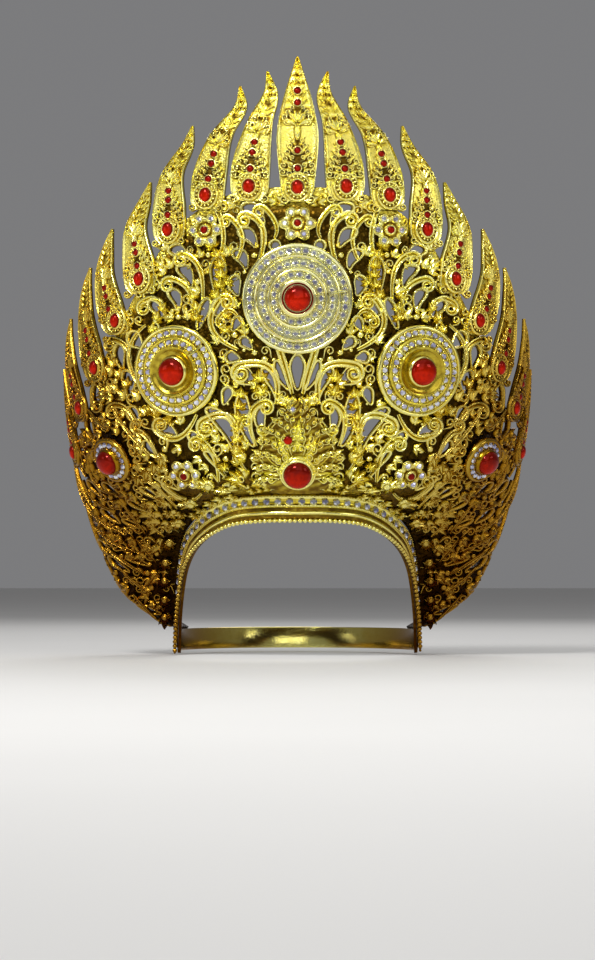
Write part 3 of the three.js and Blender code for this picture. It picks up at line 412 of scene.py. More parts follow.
def unit(vectors, least=0.0):
    """Vectors at length one; least keeps a vector of no length from a division by nought."""
    return vectors / (np.linalg.norm(vectors, axis=-1, keepdims=True) + least)


def foot_height(angle):
    """Height of the wall's foot at an angle."""
    return np.interp(np.abs(angle), WALL_FOOT[:, 0], WALL_FOOT[:, 1])


def top_height(angle):
    """Height of the wall's top edge at an angle."""
    return np.interp(np.abs(angle), WALL_TOP[:, 0], WALL_TOP[:, 1])


def wall_point(angle, up):
    """Middle surface of the wall: an ellipse round the head, whose half width and depth grow with height."""
    angle, up = np.broadcast_arrays(np.asarray(angle, float), np.asarray(up, float))
    foot = foot_height(angle)
    flare = smooth_read(FLARE[:, 0], FLARE[:, 1], (up - foot) / (FLARE_TOP - foot))
    width, depth = (
        np.where(up >= FLARE_TOP, np.interp(up, UPPER_WALL[:, 0], upper), low + (upper[0] - low) * flare)
        for upper, low in zip(UPPER_WALL[:, 1:].T, (BAND_HALF_WIDTH, BAND_HALF_DEPTH)))
    turn = np.radians(angle)
    return np.stack([width * np.sin(turn), -depth * np.cos(turn), up], -1)


def wall_slopes(angle, up):
    """The way that a point of the wall moves with one degree, and with one millimetre of height."""
    side = wall_point(angle + 0.5, up) - wall_point(angle - 0.5, up)
    return side, (wall_point(angle, up + 1) - wall_point(angle, up - 1)) / 2


def wall_frame(angle, up):
    """Point and outward normal of the wall, with its millimetres per degree and per millimetre of height."""
    side, rise = wall_slopes(angle, up)
    lengths = (np.linalg.norm(way, axis=-1) for way in (side, rise))
    return wall_point(angle, up), unit(np.cross(side, rise)), *lengths


def wall_steps(angle, up):
    """Millimetres that one degree moves square to the rise and along it, and that one of height moves."""
    side, rise = wall_slopes(angle, up)
    length = np.linalg.norm(rise, axis=-1)
    along = (side * rise).sum(-1) / length
    return np.sqrt(np.maximum((side**2).sum(-1) - along**2, 0.05)), along, length


def on_wall(angle, up, out):
    """The wall's middle surface moved outward along its normal."""
    origin, normal, _, _ = wall_frame(angle, up)
    return origin + normal * np.asarray(out, float)[..., None]


def angle_at(across, up):
    """Angle at which the wall lies this far across in front view, found by halving the interval."""
    across, up = np.broadcast_arrays(np.asarray(across, float), np.asarray(up, float))
    low, high = np.zeros(across.shape), np.full(across.shape, 90.0)
    for _ in range(24):
        middle = (low + high) / 2
        inside = wall_point(middle, up)[..., 0] < np.abs(across)
        low, high = np.where(inside, middle, low), np.where(inside, high, middle)
    return np.sign(across) * low


def flat_frame(angle, up):
    """Origin and three directions (across, rise, out) of a flat disc that lies square to the wall."""
    origin, out, _, _ = wall_frame(np.asarray(angle, float), np.asarray(up, float))
    across = unit(np.cross(np.broadcast_to([0.0, 0, 1], out.shape), out))
    return origin, across, np.cross(out, across), out


def front_frame(across, up, height=0.0):
    """The frame of a disc at a place in front view, raised over the wall by a height."""
    origin, *ways = flat_frame(angle_at(across, up), up)
    return origin + ways[2] * height, *ways


def round_places(frame, radius, turn, height, tall=None):
    """Frames on a circle over a disc, or on an ellipse where tall gives its half height."""
    origin, *ways = frame
    tall = radius if tall is None else tall
    flat = ways[0] * (radius * np.cos(turn))[:, None] + ways[1] * (tall * np.sin(turn))[:, None]
    spot = origin + flat + ways[2] * height
    return [spot] + [np.broadcast_to(way, spot.shape) for way in ways]


def turns(count, start=0.0):
    """Angles evenly round a circle, in radians, from a share of one step."""
    return 2 * np.pi * (np.arange(count) + start) / count


def turned(points, degrees, hand=1):
    """Motif points (side, along) turned clockwise from straight up, and mirrored for the right hand."""
    turn = np.radians(degrees)
    side, along = points[..., 0], points[..., 1]
    across = along * np.sin(turn) + side * np.cos(turn)
    return np.stack([across * hand, along * np.cos(turn) - side * np.sin(turn)], -1)


def within(angle, panel):
    """Whether an angle lies in a panel, given as its first and last angle."""
    return (angle >= panel[0]) & (angle < panel[1])


def hands(across):
    """The hands of a thing, each with the ending of its name: one in the middle is alone and has none."""
    return ((1, ""),) if across == 0 else ((1, "_left"), (-1, "_right"))


# ---- Gaps of the openwork ----
def smooth_outline(count):
    """The comma outline of a gap: the Fourier series of its eight points, read at more places."""
    spectrum = np.fft.fft(GAP_POINTS[:, 0] + 1j * GAP_POINTS[:, 1])
    wide = np.zeros(count, complex)
    wide[:4], wide[4], wide[-4], wide[-3:] = spectrum[:4], spectrum[4] / 2, spectrum[4] / 2, spectrum[5:]
    curve = np.fft.ifft(wide) * count / 8
    return np.stack([curve.real, curve.imag], 1)


def gap_table():
    """Every gap as a row: angle, up, length, width, turn, bow and hand."""
    rows = []
    for hand in (1, -1):
        angle = angle_at(GAPS[:, 0] * hand, GAPS[:, 1])
        rows.append(np.column_stack([angle, GAPS[:, 1:], np.full(len(GAPS), hand)]))
        for above, start, stop, count, length, width, turn in SIDE_GAPS:
            angle = np.linspace(start, stop, int(count))
            same = np.tile([length, width, turn, 0, hand], (len(angle), 1))
            rows.append(np.column_stack([angle * hand, foot_height(angle) + above, same]))
    return np.vstack(rows + [MIDDLE_GAP])


ALL_GAPS = gap_table()
OUTLINE = smooth_outline(32)


def metal_left(angle, up):
    """About how many millimetres of metal lie between a point and the nearest gap: below nought in a gap."""
    half = OUTLINE[:len(OUTLINE) // 2 + 1]
    left = np.full(np.shape(angle), 99.0)
    for at, height, length, width, turn, bow, hand in ALL_GAPS:
        _, _, arc, rise = wall_frame(np.float64(at), np.float64(height))
        across, lift = (angle - at) * arc * hand, (up - height) * rise
        cos, sin = np.cos(np.radians(turn)), np.sin(np.radians(turn))
        along = (across * sin + lift * cos) / length
        side = across * cos - lift * sin - bow * (1 - 4 * along**2)
        past = np.maximum(np.abs(along) - 0.5, 0) * 1.6 * length / width
        left = np.minimum(left, np.abs(side) - (np.interp(along, half[:, 0], half[:, 1]) - past) * width)
    return left


# ---- Meshes from whole arrays ----
def tubes(where, relief, closed=False):
    """Tubes through rings of points, as (tubes, rings, points, 3). Open tubes get a flat cap at both ends."""
    index = np.arange(where[..., 0].size).reshape(where.shape[:-1])
    ring = np.roll(index, -1, 2)
    last = None if closed else -1
    corners = (index, ring, np.roll(ring, -1, 1), np.roll(index, -1, 1))
    faces = [np.stack([corner[:, :last] for corner in corners], -1).reshape(-1, 4)]
    if not closed:
        faces += [index[:, 0, ::-1], index[:, -1]]
    return where.reshape(-1, 3), faces, np.broadcast_to(relief, where.shape[:-1]).reshape(-1)


def swept(centre, side, lift_way, half, tall, section, base, closed=False):
    """Sections carried along many paths: each point is the path's, plus side times half width, plus height.

    centre, side and lift_way are (paths, steps, 3); half and tall are (paths, steps); section is (points, 2).
    """
    lift = base + section[:, 1] * tall[..., None]
    where = (
        centre[:, :, None] + side[:, :, None] * (section[:, 0] * half[..., None])[..., None]
        + lift_way[:, :, None] * lift[..., None]
    )
    # The relief value is painted shade low on a section and near the wall, and a painted highlight on its
    # top.
    relief = held(section[:, 1]) ** 1.6 * held(0.5 + lift / 6)
    return tubes(where, relief, closed)


def along_wall(angle, up, half, tall, section, base=0.5, closed=False):
    """Sections carried along paths that are given as angle and height on the wall."""
    centre, out, _, _ = wall_frame(angle, up)
    way = np.roll(centre, -1, 1) - np.roll(centre, 1, 1) if closed else np.gradient(centre, axis=1)
    half, tall = np.broadcast_arrays(half, tall, centre[..., 0])[:2]
    return swept(centre, unit(np.cross(way, out), 1e-9), out, half, tall, section, base, closed)


def motif_on_wall(angle, up, motif, turn, size, hand, half, tall, section, base=0.5):
    """One path drawn at many places: turned, scaled, mirrored and bent to the wall, then swept."""
    across, along, rise = wall_steps(angle, up)
    local = turned(motif[None] * size[:, None, None], turn[:, None], hand[:, None])
    step = local[..., 0] / across[:, None]
    path_angle = angle[:, None] + step
    path_up = up[:, None] + (local[..., 1] - step * along[:, None]) / rise[:, None]
    half, tall = half * size[:, None], tall * size[:, None] ** 0.5
    return along_wall(path_angle, path_up, half, tall, section, base)


def lathed(origin, across, rise, out, profile, sides, size=1.0, tall=1.0, wave=1.0, shade=None):
    """Profiles (radius, height) turned about many axes: rings of points, with a flat cap at each end.

    wave is the radius factor round the ring and makes petals. shade is each ring's relief value: painted
    shade towards nought and a painted highlight towards one. Where none is given, it is the share of its
    height.
    """
    origin, across, rise, out = (np.atleast_2d(part)[:, None, None] for part in (origin, across, rise, out))
    profile = np.asarray(profile, float)
    grow = np.broadcast_to(size, len(origin))[:, None, None, None]
    turn = turns(sides, 0.5)
    flat_across = profile[:, 0, None] * wave * np.cos(turn)
    flat_rise = profile[:, 0, None] * wave * np.sin(turn) * tall
    where = (
        origin + across * flat_across[None, ..., None] * grow + rise * flat_rise[None, ..., None] * grow
        + out * profile[None, :, 1, None, None] * grow
    )
    if shade is None:
        low, high = profile[:, 1].min(), profile[:, 1].max()
        shade = (profile[:, 1] - low) / max(high - low, 1e-6)
    return tubes(where, np.asarray(shade)[None, :, None])


def joined(parts):
    """Several surfaces as one: their points in a row, and their faces counted on."""
    points = np.vstack([part[0] for part in parts])
    starts = np.cumsum([0] + [len(part[0]) for part in parts[:-1]])
    faces = [rows + start for part, start in zip(parts, starts) for rows in part[1]]
    return points, faces, np.concatenate([part[2] for part in parts])


def make_piece(name, surface, material, nodes=(), flat=False, thickness=0.0):
    """Puts a surface into a mesh object, keeps it inside the frame's box, and rides it on the frame."""
    points, faces, relief = surface
    low, high = (np.array(corner) for corner in CAD_BOX)
    points = np.clip(points * MM, low + BOX_INSET, high - BOX_INSET)
    mesh = bpy.data.meshes.new(name)
    loops = np.concatenate([rows.reshape(-1) for rows in faces])
    sizes = np.concatenate([np.full(len(rows), rows.shape[1]) for rows in faces])
    mesh.vertices.add(len(points))
    mesh.vertices.foreach_set("co", points.reshape(-1))
    mesh.loops.add(len(loops))
    mesh.loops.foreach_set("vertex_index", loops.astype(np.int32))
    mesh.polygons.add(len(sizes))
    mesh.polygons.foreach_set("loop_start", (np.cumsum(sizes) - sizes).astype(np.int32))
    mesh.polygons.foreach_set("use_smooth", np.full(len(sizes), not flat))
    mesh.update(calc_edges=True)
    mesh.validate()
    # The relief attribute is painted light: painted shade in the recesses, painted highlights on the ridges.
    mesh.attributes.new("relief", "FLOAT", "POINT").data.foreach_set("value", relief.astype(np.float32))
    if not thickness:
        work = bmesh.new()
        work.from_mesh(mesh)
        bmesh.ops.recalc_face_normals(work, faces=work.faces)
        work.to_mesh(mesh)
        work.free()
        if not flat:
            mesh.set_sharp_from_angle(angle=np.radians(SHARP_ANGLE))
    mesh.materials.append(material)
    piece = bpy.data.objects.new(name, mesh)
    bpy.context.scene.collection.objects.link(piece)
    if thickness:
        wall = piece.modifiers.new("wall_thickness", "SOLIDIFY")
        wall.thickness, wall.offset = thickness * MM, 0
    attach(piece, "root")
    if nodes:
        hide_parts(*nodes)
    return piece


# ---- Motifs ----
def spiral(steps, winds, inner, tail):
    """A tail that runs up to a spiral of radius one, which winds inward to the inner radius."""
    lead = np.stack([np.ones(4), np.linspace(-tail, -tail / 4, 4)], 1)
    t = np.linspace(0, 1, steps - 4)
    radius = inner + (1 - inner) * (1 - t) ** 0.85
    turn = 2 * np.pi * winds * t
    return np.vstack([lead, np.stack([radius * np.cos(turn), radius * np.sin(turn)], 1)])


def leaf_line(steps, hook):
    """The midline of a leaf of length one, which hooks sideways with the square of the length."""
    t = np.linspace(0, 1, steps)
    return np.stack([hook * t**2, t - 0.12 * hook * t**3], 1)


def leaf_half(steps, half):
    """Half width of a leaf along its length: widest at a third, and down to a point."""
    t = np.linspace(0, 1, steps)
    return half * (0.25 * (1 - t) + np.sin(np.pi * t**0.72) * 0.88 + 0.02)


CURL_STEPS = 18
CURL = spiral(CURL_STEPS, 1.2, 0.2, 1.6)
CURL_HALF = np.interp(np.arange(CURL_STEPS), [0, 4, 14, 17], [0.14, 0.36, 0.28, 0.38])
CURL_TALL = np.interp(np.arange(CURL_STEPS), [0, 4, 14, 17], [0.7, 1.35, 1.4, 1.9])


def curls_on_wall(angle, up, turn, size, hand, base=0.5):
    """Round curls at many places on the wall."""
    return motif_on_wall(angle, up, CURL, turn, size, hand, CURL_HALF, CURL_TALL, SMALL_ROUND, base)


def leaves_on_wall(angle, up, turn, size, hand, steps, hook, half, tall, section, base, back=0.0):
    """Hooked leaves at many places on the wall, each with its root set back by a share of its length."""
    line = leaf_line(steps, hook) - [0, back]
    return motif_on_wall(
        angle, up, line, turn, size, hand, leaf_half(steps, half), np.full(steps, tall), section, base)


def red_stones(frame, sides, size, tall=1.0, tone=1.0):
    """Domed stones with painted light: brighter from girdle to top, and downwards where the foil throws light
    back.
    """
    points, faces, relief = lathed(*frame, CABOCHON, sides, size=size, tall=tall)
    below = -np.array(CABOCHON)[:, :1] * np.sin(turns(sides, 0.5))
    share = np.tile(np.clip(0.5 + 0.7 * below, 0.06, 1).reshape(-1), len(relief) // below.size)
    return points, faces, relief * share * tone


def ruby_at(across, up, kind):
    """One red stone of a kind at a place in front view."""
    out, *look = RUBIES[kind]
    return red_stones(front_frame(across, up, out), *look)


def parabola(start, middle, end, t):
    """Places and ways along a parabola that passes its middle point halfway."""
    pull = 2 * middle - (start + end) / 2
    line = (1 - t) ** 2 * start + 2 * t * (1 - t) * pull + t**2 * end
    return line, (1 - t) * (pull - start) + t * (end - pull)


def scroll_path(row, hand):
    """A scroll arm in front view: a parabola, then a spiral that leaves along its slope and winds inward."""
    end, radius, wind = row[4:6], row[7], row[8]
    line, ways = parabola(row[0:2], row[2:4], end, np.linspace(0, 1, ARM_STEPS)[:, None])
    way = ways[-1] / np.linalg.norm(ways[-1])
    side = np.array([-way[1], way[0]]) * wind
    s = np.linspace(0, 1, SCROLL_STEPS - ARM_STEPS + 1)[1:]
    reach = radius * (0.2 + 0.8 * (1 - s) ** 0.9)
    turn = s * 2 * np.pi * 1.2
    wound = end + side * (radius - reach * np.cos(turn))[:, None] + way * (reach * np.sin(turn))[:, None]
    return np.vstack([line, wound]) * [hand, 1]


def scroll_arms():
    """All scroll arms on both hands, as paths on the wall with their half widths and heights."""
    steps = np.linspace(0, 1, SCROLL_STEPS)
    taper = np.interp(steps, [0, 0.2, 0.5, 0.85, 0.94, 1], [0.5, 0.9, 1, 0.62, 0.7, 1.05])
    across, up = np.moveaxis([scroll_path(row, hand) for row in SCROLLS for hand in (1, -1)], -1, 0)
    half = np.repeat(SCROLLS[:, 6], 2)[:, None] * taper * 1.2
    tall = np.interp(steps, [0, 0.3, 0.8, 1], [1.9, 2.9, 3.0, 3.9])
    return angle_at(across, up), up, half, np.broadcast_to(tall, half.shape)


def side_ribs():
    """The long ribs of the sides on both hands: parabolas in front view, thinning to both ends."""
    t = np.linspace(0, 1, 20)
    line, _ = parabola(*(SWEEPS[:, None, k:k + 2] for k in (0, 2, 4)), t[None, :, None])
    path = np.concatenate([line, line * [-1, 1]])
    half = np.tile(SWEEPS[:, 6:7] * (0.35 + 0.65 * np.sin(np.pi * t) ** 0.6), (2, 1))
    return angle_at(path[..., 0], path[..., 1]), path[..., 1], half, np.full(half.shape, 2.4)


def foliage_sprays():
    """Sprays along the columns of foliage on both hands: angle, height, way of the column, length, hand."""
    rows = []
    for row in FOLIAGE:
        t = (np.arange(row[6])[:, None] + 0.3) / row[6]
        place, way = parabola(row[0:2], row[2:4], row[4:6], t)
        turn = np.degrees(np.arctan2(way[:, 0], way[:, 1]))
        rows.append(np.column_stack([place, turn, np.full(len(t), row[7])]))
    across, up, turn, length = np.tile(np.vstack(rows), (2, 1)).T
    hand = np.repeat([1.0, -1.0], len(up) // 2)
    return angle_at(across * hand, up), up, turn, length, hand


def gap_rims():
    """A raised lip round every gap: the smooth outline moved outward by just under its own half width."""
    rows = ALL_GAPS
    local = OUTLINE[None] * rows[:, None, 2:4]
    local[..., 1] += rows[:, 5, None] * (1 - 4 * OUTLINE[None, :, 0] ** 2)
    way = unit(np.roll(local, -1, 1) - np.roll(local, 1, 1), 1e-9)
    local = local + np.stack([-way[..., 1], way[..., 0]], -1) * 0.85
    spread = turned(local[..., ::-1], rows[:, 4, None], rows[:, 6, None])
    _, _, arc, rise = wall_frame(rows[:, 0], rows[:, 1])
    angle = rows[:, 0, None] + spread[..., 0] / arc[:, None]
    up = rows[:, 1, None] + spread[..., 1] / rise[:, None]
    bulge = 0.5 + 0.5 * np.cos(2 * np.pi * (np.arange(len(OUTLINE)) / len(OUTLINE) - 0.42))
    half, tall = (np.broadcast_to(part, angle.shape) for part in (1.05 + 0.6 * bulge, 2.0 + 0.9 * bulge))
    return angle, up, half, tall


def disc_places():
    """Centre and radius of everything round that stands on the wall, so that small relief keeps off it."""
    rows = [(part["across"], part["up"], max(LATHE_PROFILES[name])[0]) for name, part in MEDALLIONS.items()]
    rows = np.array(rows + [*ROSETTES.values(), (0, FRONT_STONE_UP, max(BEZEL)[0])])
    across, up, radius = np.concatenate([rows, rows * [-1, 1, 1]]).T
    return wall_point(angle_at(across, up), up), radius


def small_relief_places(pitch):
    """Jittered rows of places between gaps on one hand: angle, height, free metal, and the random state."""
    rng = np.random.RandomState(RELIEF_SEED)
    rows = []
    for up in np.arange(24, 304, pitch * 0.9):
        probe = np.arange(0.2, 110, 0.5)
        length = np.cumsum(wall_frame(probe, up)[2]) * 0.5
        at = np.interp(np.arange(pitch * 0.5, length[-1], pitch), length, probe)
        rows.append(np.column_stack([at, np.full(len(at), up)]))
    places = np.vstack(rows)
    places += rng.uniform(-0.16, 0.16, places.shape) * [pitch * 0.5, pitch]
    angle, up = places.T
    metal = metal_left(angle, up)
    point = wall_point(angle, up)[:, None]
    centres, radii = disc_places()
    arm_angle, arm_up, _, _ = scroll_arms()
    arms = wall_point(arm_angle[::2], arm_up[::2]).reshape(1, -1, 3)
    off_discs = (np.linalg.norm(point - centres, axis=-1) - radii).min(1)
    off_arms = np.linalg.norm(point - arms, axis=-1).min(1)
    keep = (up > foot_height(angle) + FOOT_ROOM) & (up < top_height(angle) - TOP_ROOM) & (angle < LAST_ANGLE)
    keep &= (metal > GAP_ROOM) & (off_discs > DISC_ROOM) & (off_arms > ARM_ROOM)
    return angle[keep], up[keep], metal[keep], rng


def small_relief(pitch):
    """Curls, leaves and beads over the metal of one hand: angle, height, kind, turn, size and way of each."""
    angle, up, metal, rng = small_relief_places(pitch)
    kind = rng.uniform(0, 1, len(angle))
    kind = np.where(metal > CURL_ROOM, kind, 0.5 + 0.5 * kind)
    outward = np.interp(angle, [0, 30, 60, 90, 110], [14, 40, 52, 40, 30])
    turn = outward + rng.uniform(-38, 38, len(angle))
    size = np.clip(metal * 0.62, 1.7, 3.3) * rng.uniform(0.9, 1.12, len(angle))
    flip = np.where(rng.uniform(0, 1, len(angle)) < 0.5, 1.0, -1.0)
    return np.array([angle, up, kind, turn, size, flip])


# ---- Materials ----
def fed(tree, node, inputs):
    """A node with each of its inputs linked, where a socket is given, or set to a value."""
    for name, value in inputs.items():
        if isinstance(value, bpy.types.NodeSocket):
            tree.links.new(value, node.inputs[name])
        else:
            node.inputs[name].default_value = value
    return node


def added(tree, kind, inputs, **settings):
    """A new node with its settings and inputs."""
    node = tree.nodes.new(f"ShaderNode{kind}")
    for name, value in settings.items():
        setattr(node, name, value)
    return fed(tree, node, inputs)


def new_material(name):
    """A new node material, with its tree and its main shader."""
    made = bpy.data.materials.new(name)
    made.use_nodes = True
    return made, made.node_tree, made.node_tree.nodes["Principled BSDF"]


def object_place(tree):
    """The object's own coordinates."""
    return added(tree, "TexCoord", {}).outputs["Object"]


def object_noise(tree, scale, detail):
    """Noise that reads the object's own coordinates."""
    noise = added(tree, "TexNoise", {"Vector": object_place(tree), "Scale": scale, "Detail": detail})
    return noise.outputs["Fac"]


def painted_light_level(tree):
    """Each point's relief value: painted shade towards nought and a painted highlight towards one."""
    return added(tree, "Attribute", {}, attribute_name="relief").outputs["Fac"]


def multiply_add(tree, value, factor, other):
    """A value times a factor, plus another value."""
    return added(tree, "Math", {0: value, 1: factor, 2: other}, operation="MULTIPLY_ADD").outputs[0]


def ranged(tree, value, low, high, to_low=0.0, to_high=1.0):
    """A value carried from one range to another, and held at both ends."""
    inputs = {"Value": value, "From Min": low, "From Max": high, "To Min": to_low, "To Max": to_high}
    return added(tree, "MapRange", inputs).outputs["Result"]


def ramp(tree, source, stops):
    """A colour ramp over a value: stops of (place, colour)."""
    node = added(tree, "ValToRGB", {"Fac": source})
    while len(node.color_ramp.elements) < len(stops):
        node.color_ramp.elements.new(0.5)
    for element, (place, colour) in zip(node.color_ramp.elements, stops):
        element.position = place
        element.color = (*colour, 1)
    return node.outputs["Color"]


def mixed(tree, share, first, second, blend="MIX"):
    """Two colours mixed by a share, which is a socket or a number."""
    inputs = {0: share, 6: first, 7: second}
    return added(tree, "Mix", inputs, data_type="RGBA", blend_type=blend).outputs[2]


def scaled(colour, factor):
    """A colour times a factor, no part over one."""
    return tuple(min(1.0, part * factor) for part in colour)


def gilt(name, colours):
    """Gilded cast metal: painted shade of dark amber in the recesses and a painted highlight on the ridges.

    Painted shade makes it redder on the flanks and browner low down on the sides. Both follow from the
    distance aside, plus a share of the height that is under nought.
    """
    made, tree, shader = new_material(name)
    smooth, rough, grain, pits, wear = GILDINGS[name]
    height = multiply_add(tree, object_noise(tree, 260, 3), wear, painted_light_level(tree))
    dark, middle, bright = map(tuple, (colours.gilt_recess_shade, colours.gilt_body, colours.gilt_ridge_highlight))
    if name == "pale_gilding":
        bright = tuple(colours.gilt_pale_highlight)
        middle = tuple((part + other) / 2 for part, other in zip(middle, bright))
    # Painted shade in the recesses and painted highlights on the ridges, read from the relief value plus
    # noise.
    tone = ramp(tree, height, [(0.14, scaled(dark, 0.2)), (0.34, dark), (0.58, middle), (0.93, bright)])
    spots = ramp(tree, object_noise(tree, 55, 2), [(0.35, (1.0, 0.9, 0.7)), (0.6, (1, 1, 1))])
    tone = mixed(tree, 0.6, tone, spots, "MULTIPLY")
    axes = added(tree, "SeparateXYZ", {0: object_place(tree)})
    aside = added(tree, "Math", {0: axes.outputs["X"]}, operation="ABSOLUTE").outputs[0]
    # Painted shade by distance aside and height: browner low down on the sides, redder on the flanks.
    low_side_shade, flank_shade = (
        ranged(tree, multiply_add(tree, axes.outputs["Z"], slope, aside), first, last)
        for slope, first, last in (LOW_SIDE_SHADE, FLANK_SHADE))
    redder = mixed(tree, 1.0, tone, FLANK_SHADE_TINT, "MULTIPLY")
    side_shaded = mixed(tree, 1.0, tone, LOW_SIDE_SHADE_TINT, "MULTIPLY")
    bump = {"Strength": pits, "Distance": 0.0006, "Height": object_noise(tree, grain, 4)}
    if name == "plate_gilding":
        grains = added(tree, "TexVoronoi", {"Vector": object_place(tree), "Scale": 330}).outputs["Distance"]
        knobs = added(tree, "Bump", {"Strength": 1.0, "Distance": 0.0012, "Height": grains}, invert=True)
        bump["Normal"] = knobs.outputs["Normal"]
    fed(tree, shader, {
        "Base Color": mixed(tree, low_side_shade, mixed(tree, flank_shade, tone, redder), side_shaded),
        "Metallic": 1.0,
        "Roughness": ranged(tree, height, 0.1, 1.0, rough, smooth),
        "Normal": added(tree, "Bump", bump).outputs["Normal"],
    })
    return made


def ruby_glass(name, colours):
    """Red glass on foil: painted shade at the girdle, a painted highlight and glow inside, under a clear
    gloss.
    """
    made, tree, shader = new_material(name)
    inner = tuple(colours.ruby)
    stops = [(0.0, scaled(inner, 0.28)), (0.5, inner), (1.0, scaled(inner, 1.3))]
    tone = ramp(tree, painted_light_level(tree), stops)
    cloud = ramp(tree, object_noise(tree, 320, 2), [(0.35, (0.6, 0.55, 0.55)), (0.62, (1, 1, 1))])
    # The weak emission is a painted glow of the foil, not a lamp.
    fed(tree, shader, {
        "Base Color": mixed(tree, 0.7, tone, cloud, "MULTIPLY"), "Metallic": 0.35, "Roughness": 0.14,
        "Specular IOR Level": 0.14, "Emission Color": tone, "Emission Strength": 0.05,
    })
    return made


def crystal_glass(name, colours):
    """Clear foiled glass: silvery facets with a slight lilac or grey tint that varies from stone to stone."""
    made, tree, shader = new_material(name)
    clear = tuple(colours.crystal)
    lilac = tuple(part * share for part, share in zip(clear, (0.46, 0.44, 0.62)))
    fed(tree, shader, {
        "Base Color": ramp(tree, object_noise(tree, 190, 1), [(0.38, lilac), (0.58, clear)]),
        "Metallic": 0.85, "Roughness": 0.05, "Coat Weight": 1.0, "Coat Roughness": 0.02,
    })
    return made


def finish(name, colours):
    """The named finish, made once and shared by the pieces."""
    makers = {"red_glass": ruby_glass, "clear_glass": crystal_glass}
    return bpy.data.materials.get(name) or makers.get(name, gilt)(name, colours)


# ---- Settings ----
class HeaddressSizes(bpy.types.PropertyGroup):
    """Sizes of the dressed pieces."""

    plate_cell: FloatProperty(
        name="Plate cell", description="Size of one cell of the pierced plate", unit="LENGTH", default=0.0013)
    wall_thickness: FloatProperty(
        name="Wall thickness", description="Thickness of the pierced plate", unit="LENGTH", default=0.002)
    relief_pitch: FloatProperty(
        name="Relief pitch", description="Distance between the small curls and leaves", unit="LENGTH",
        default=0.0064)
    crystal_radius: FloatProperty(
        name="Crystal radius", description="Radius of a clear stone", unit="LENGTH", default=0.0021)
    bead_pitch: FloatProperty(
        name="Bead pitch", description="Distance between the beads of the lower edge", unit="LENGTH",
        default=0.0034)
    lathe_sides: IntProperty(
        name="Lathe sides", description="Faces round a medallion", default=96, min=24)


class HeaddressColours(bpy.types.PropertyGroup):
    """Colours of the finishes."""

    # Painted highlight on the ridges of the gilding.
    gilt_ridge_highlight: FloatVectorProperty(
        name="Gilt, ridges", description="Colour of the raised gilding", subtype="COLOR",
        default=(0.98, 0.93, 0.31))
    gilt_body: FloatVectorProperty(
        name="Gilt, body", description="Colour of the gilding", subtype="COLOR", default=(0.78, 0.65, 0.07))
    # Paler painted highlight on the middle medallion's ridges, which also pales its body.
    gilt_pale_highlight: FloatVectorProperty(
        name="Gilt, pale", description="Colour of the middle medallion's ridges", subtype="COLOR",
        default=(0.98, 0.98, 0.5))
    # Painted shade deep in the relief.
    gilt_recess_shade: FloatVectorProperty(
        name="Gilt, recesses", description="Colour of the gilding deep in the relief", subtype="COLOR",
        default=(0.2, 0.115, 0.011))
    ruby: FloatVectorProperty(
        name="Red stones", description="Colour of the red glass", subtype="COLOR", default=(0.5, 0.012, 0.0))
    crystal: FloatVectorProperty(
        name="Clear stones", description="Colour of the clear glass", subtype="COLOR",
        default=(0.84, 0.86, 0.92))


class HeaddressStage(bpy.types.PropertyGroup):
    """Light, floor and camera."""

    camera_distance: FloatProperty(
        name="Camera distance", description="From the camera to the crown's axis", unit="LENGTH", default=2.2)
    camera_height: FloatProperty(
        name="Camera height", description="Height of the camera over the floor", unit="LENGTH", default=0.053)
    aim_height: FloatProperty(
        name="Aim height", description="Height that the camera looks at", unit="LENGTH", default=0.119)
    lens: FloatProperty(
        name="Lens", description="Focal length", default=118.4, unit="CAMERA")
    key_power: FloatProperty(
        name="Key light", description="Power of the key light", default=19.0, unit="POWER")
    floor_colour: FloatVectorProperty(
        name="Floor", description="Colour of the floor", subtype="COLOR", default=(0.72, 0.71, 0.69))


# ---- Surfaces of the pieces ----
def clipped(triangles, field):
    """The part of a triangle mesh where a field is over nought, as faces and new points.

    Triangles wholly inside are kept. Those that cross an edge are clipped where the field, taken as linear
    along each side, is nought. A new point has a pair of old points and its share of the way between them,
    and is numbered on from the old ones.
    """
    inside = field > 0
    count = inside[triangles].sum(1)
    odd_in, odd_out = (
        np.take_along_axis(rows, (find_odd(inside[rows], 1)[:, None] + [[0, 1, 2]]) % 3, 1)
        for rows, find_odd in ((triangles[count == 1], np.argmax), (triangles[count == 2], np.argmin)))
    edges = np.concatenate([rows[:, ends] for rows in (odd_in, odd_out) for ends in ([0, 1], [0, 2])])
    pairs, where = np.unique(np.sort(edges, 1), axis=0, return_inverse=True)
    where = where.reshape(-1) + len(field)
    near, far = field[pairs[:, 0]], field[pairs[:, 1]]
    share = np.clip(near / (near - far), 0.02, 0.98)
    one, two = len(odd_in), len(odd_out)
    in_a, in_b, out_a, out_b = np.split(where, [one, 2 * one, 2 * one + two])
    small = np.stack([odd_in[:, 0], in_a, in_b], -1)
    wide = np.stack([out_a, odd_out[:, 1], odd_out[:, 2], out_b], -1)
    return np.concatenate([triangles[count == 3], small]), wide, pairs, share


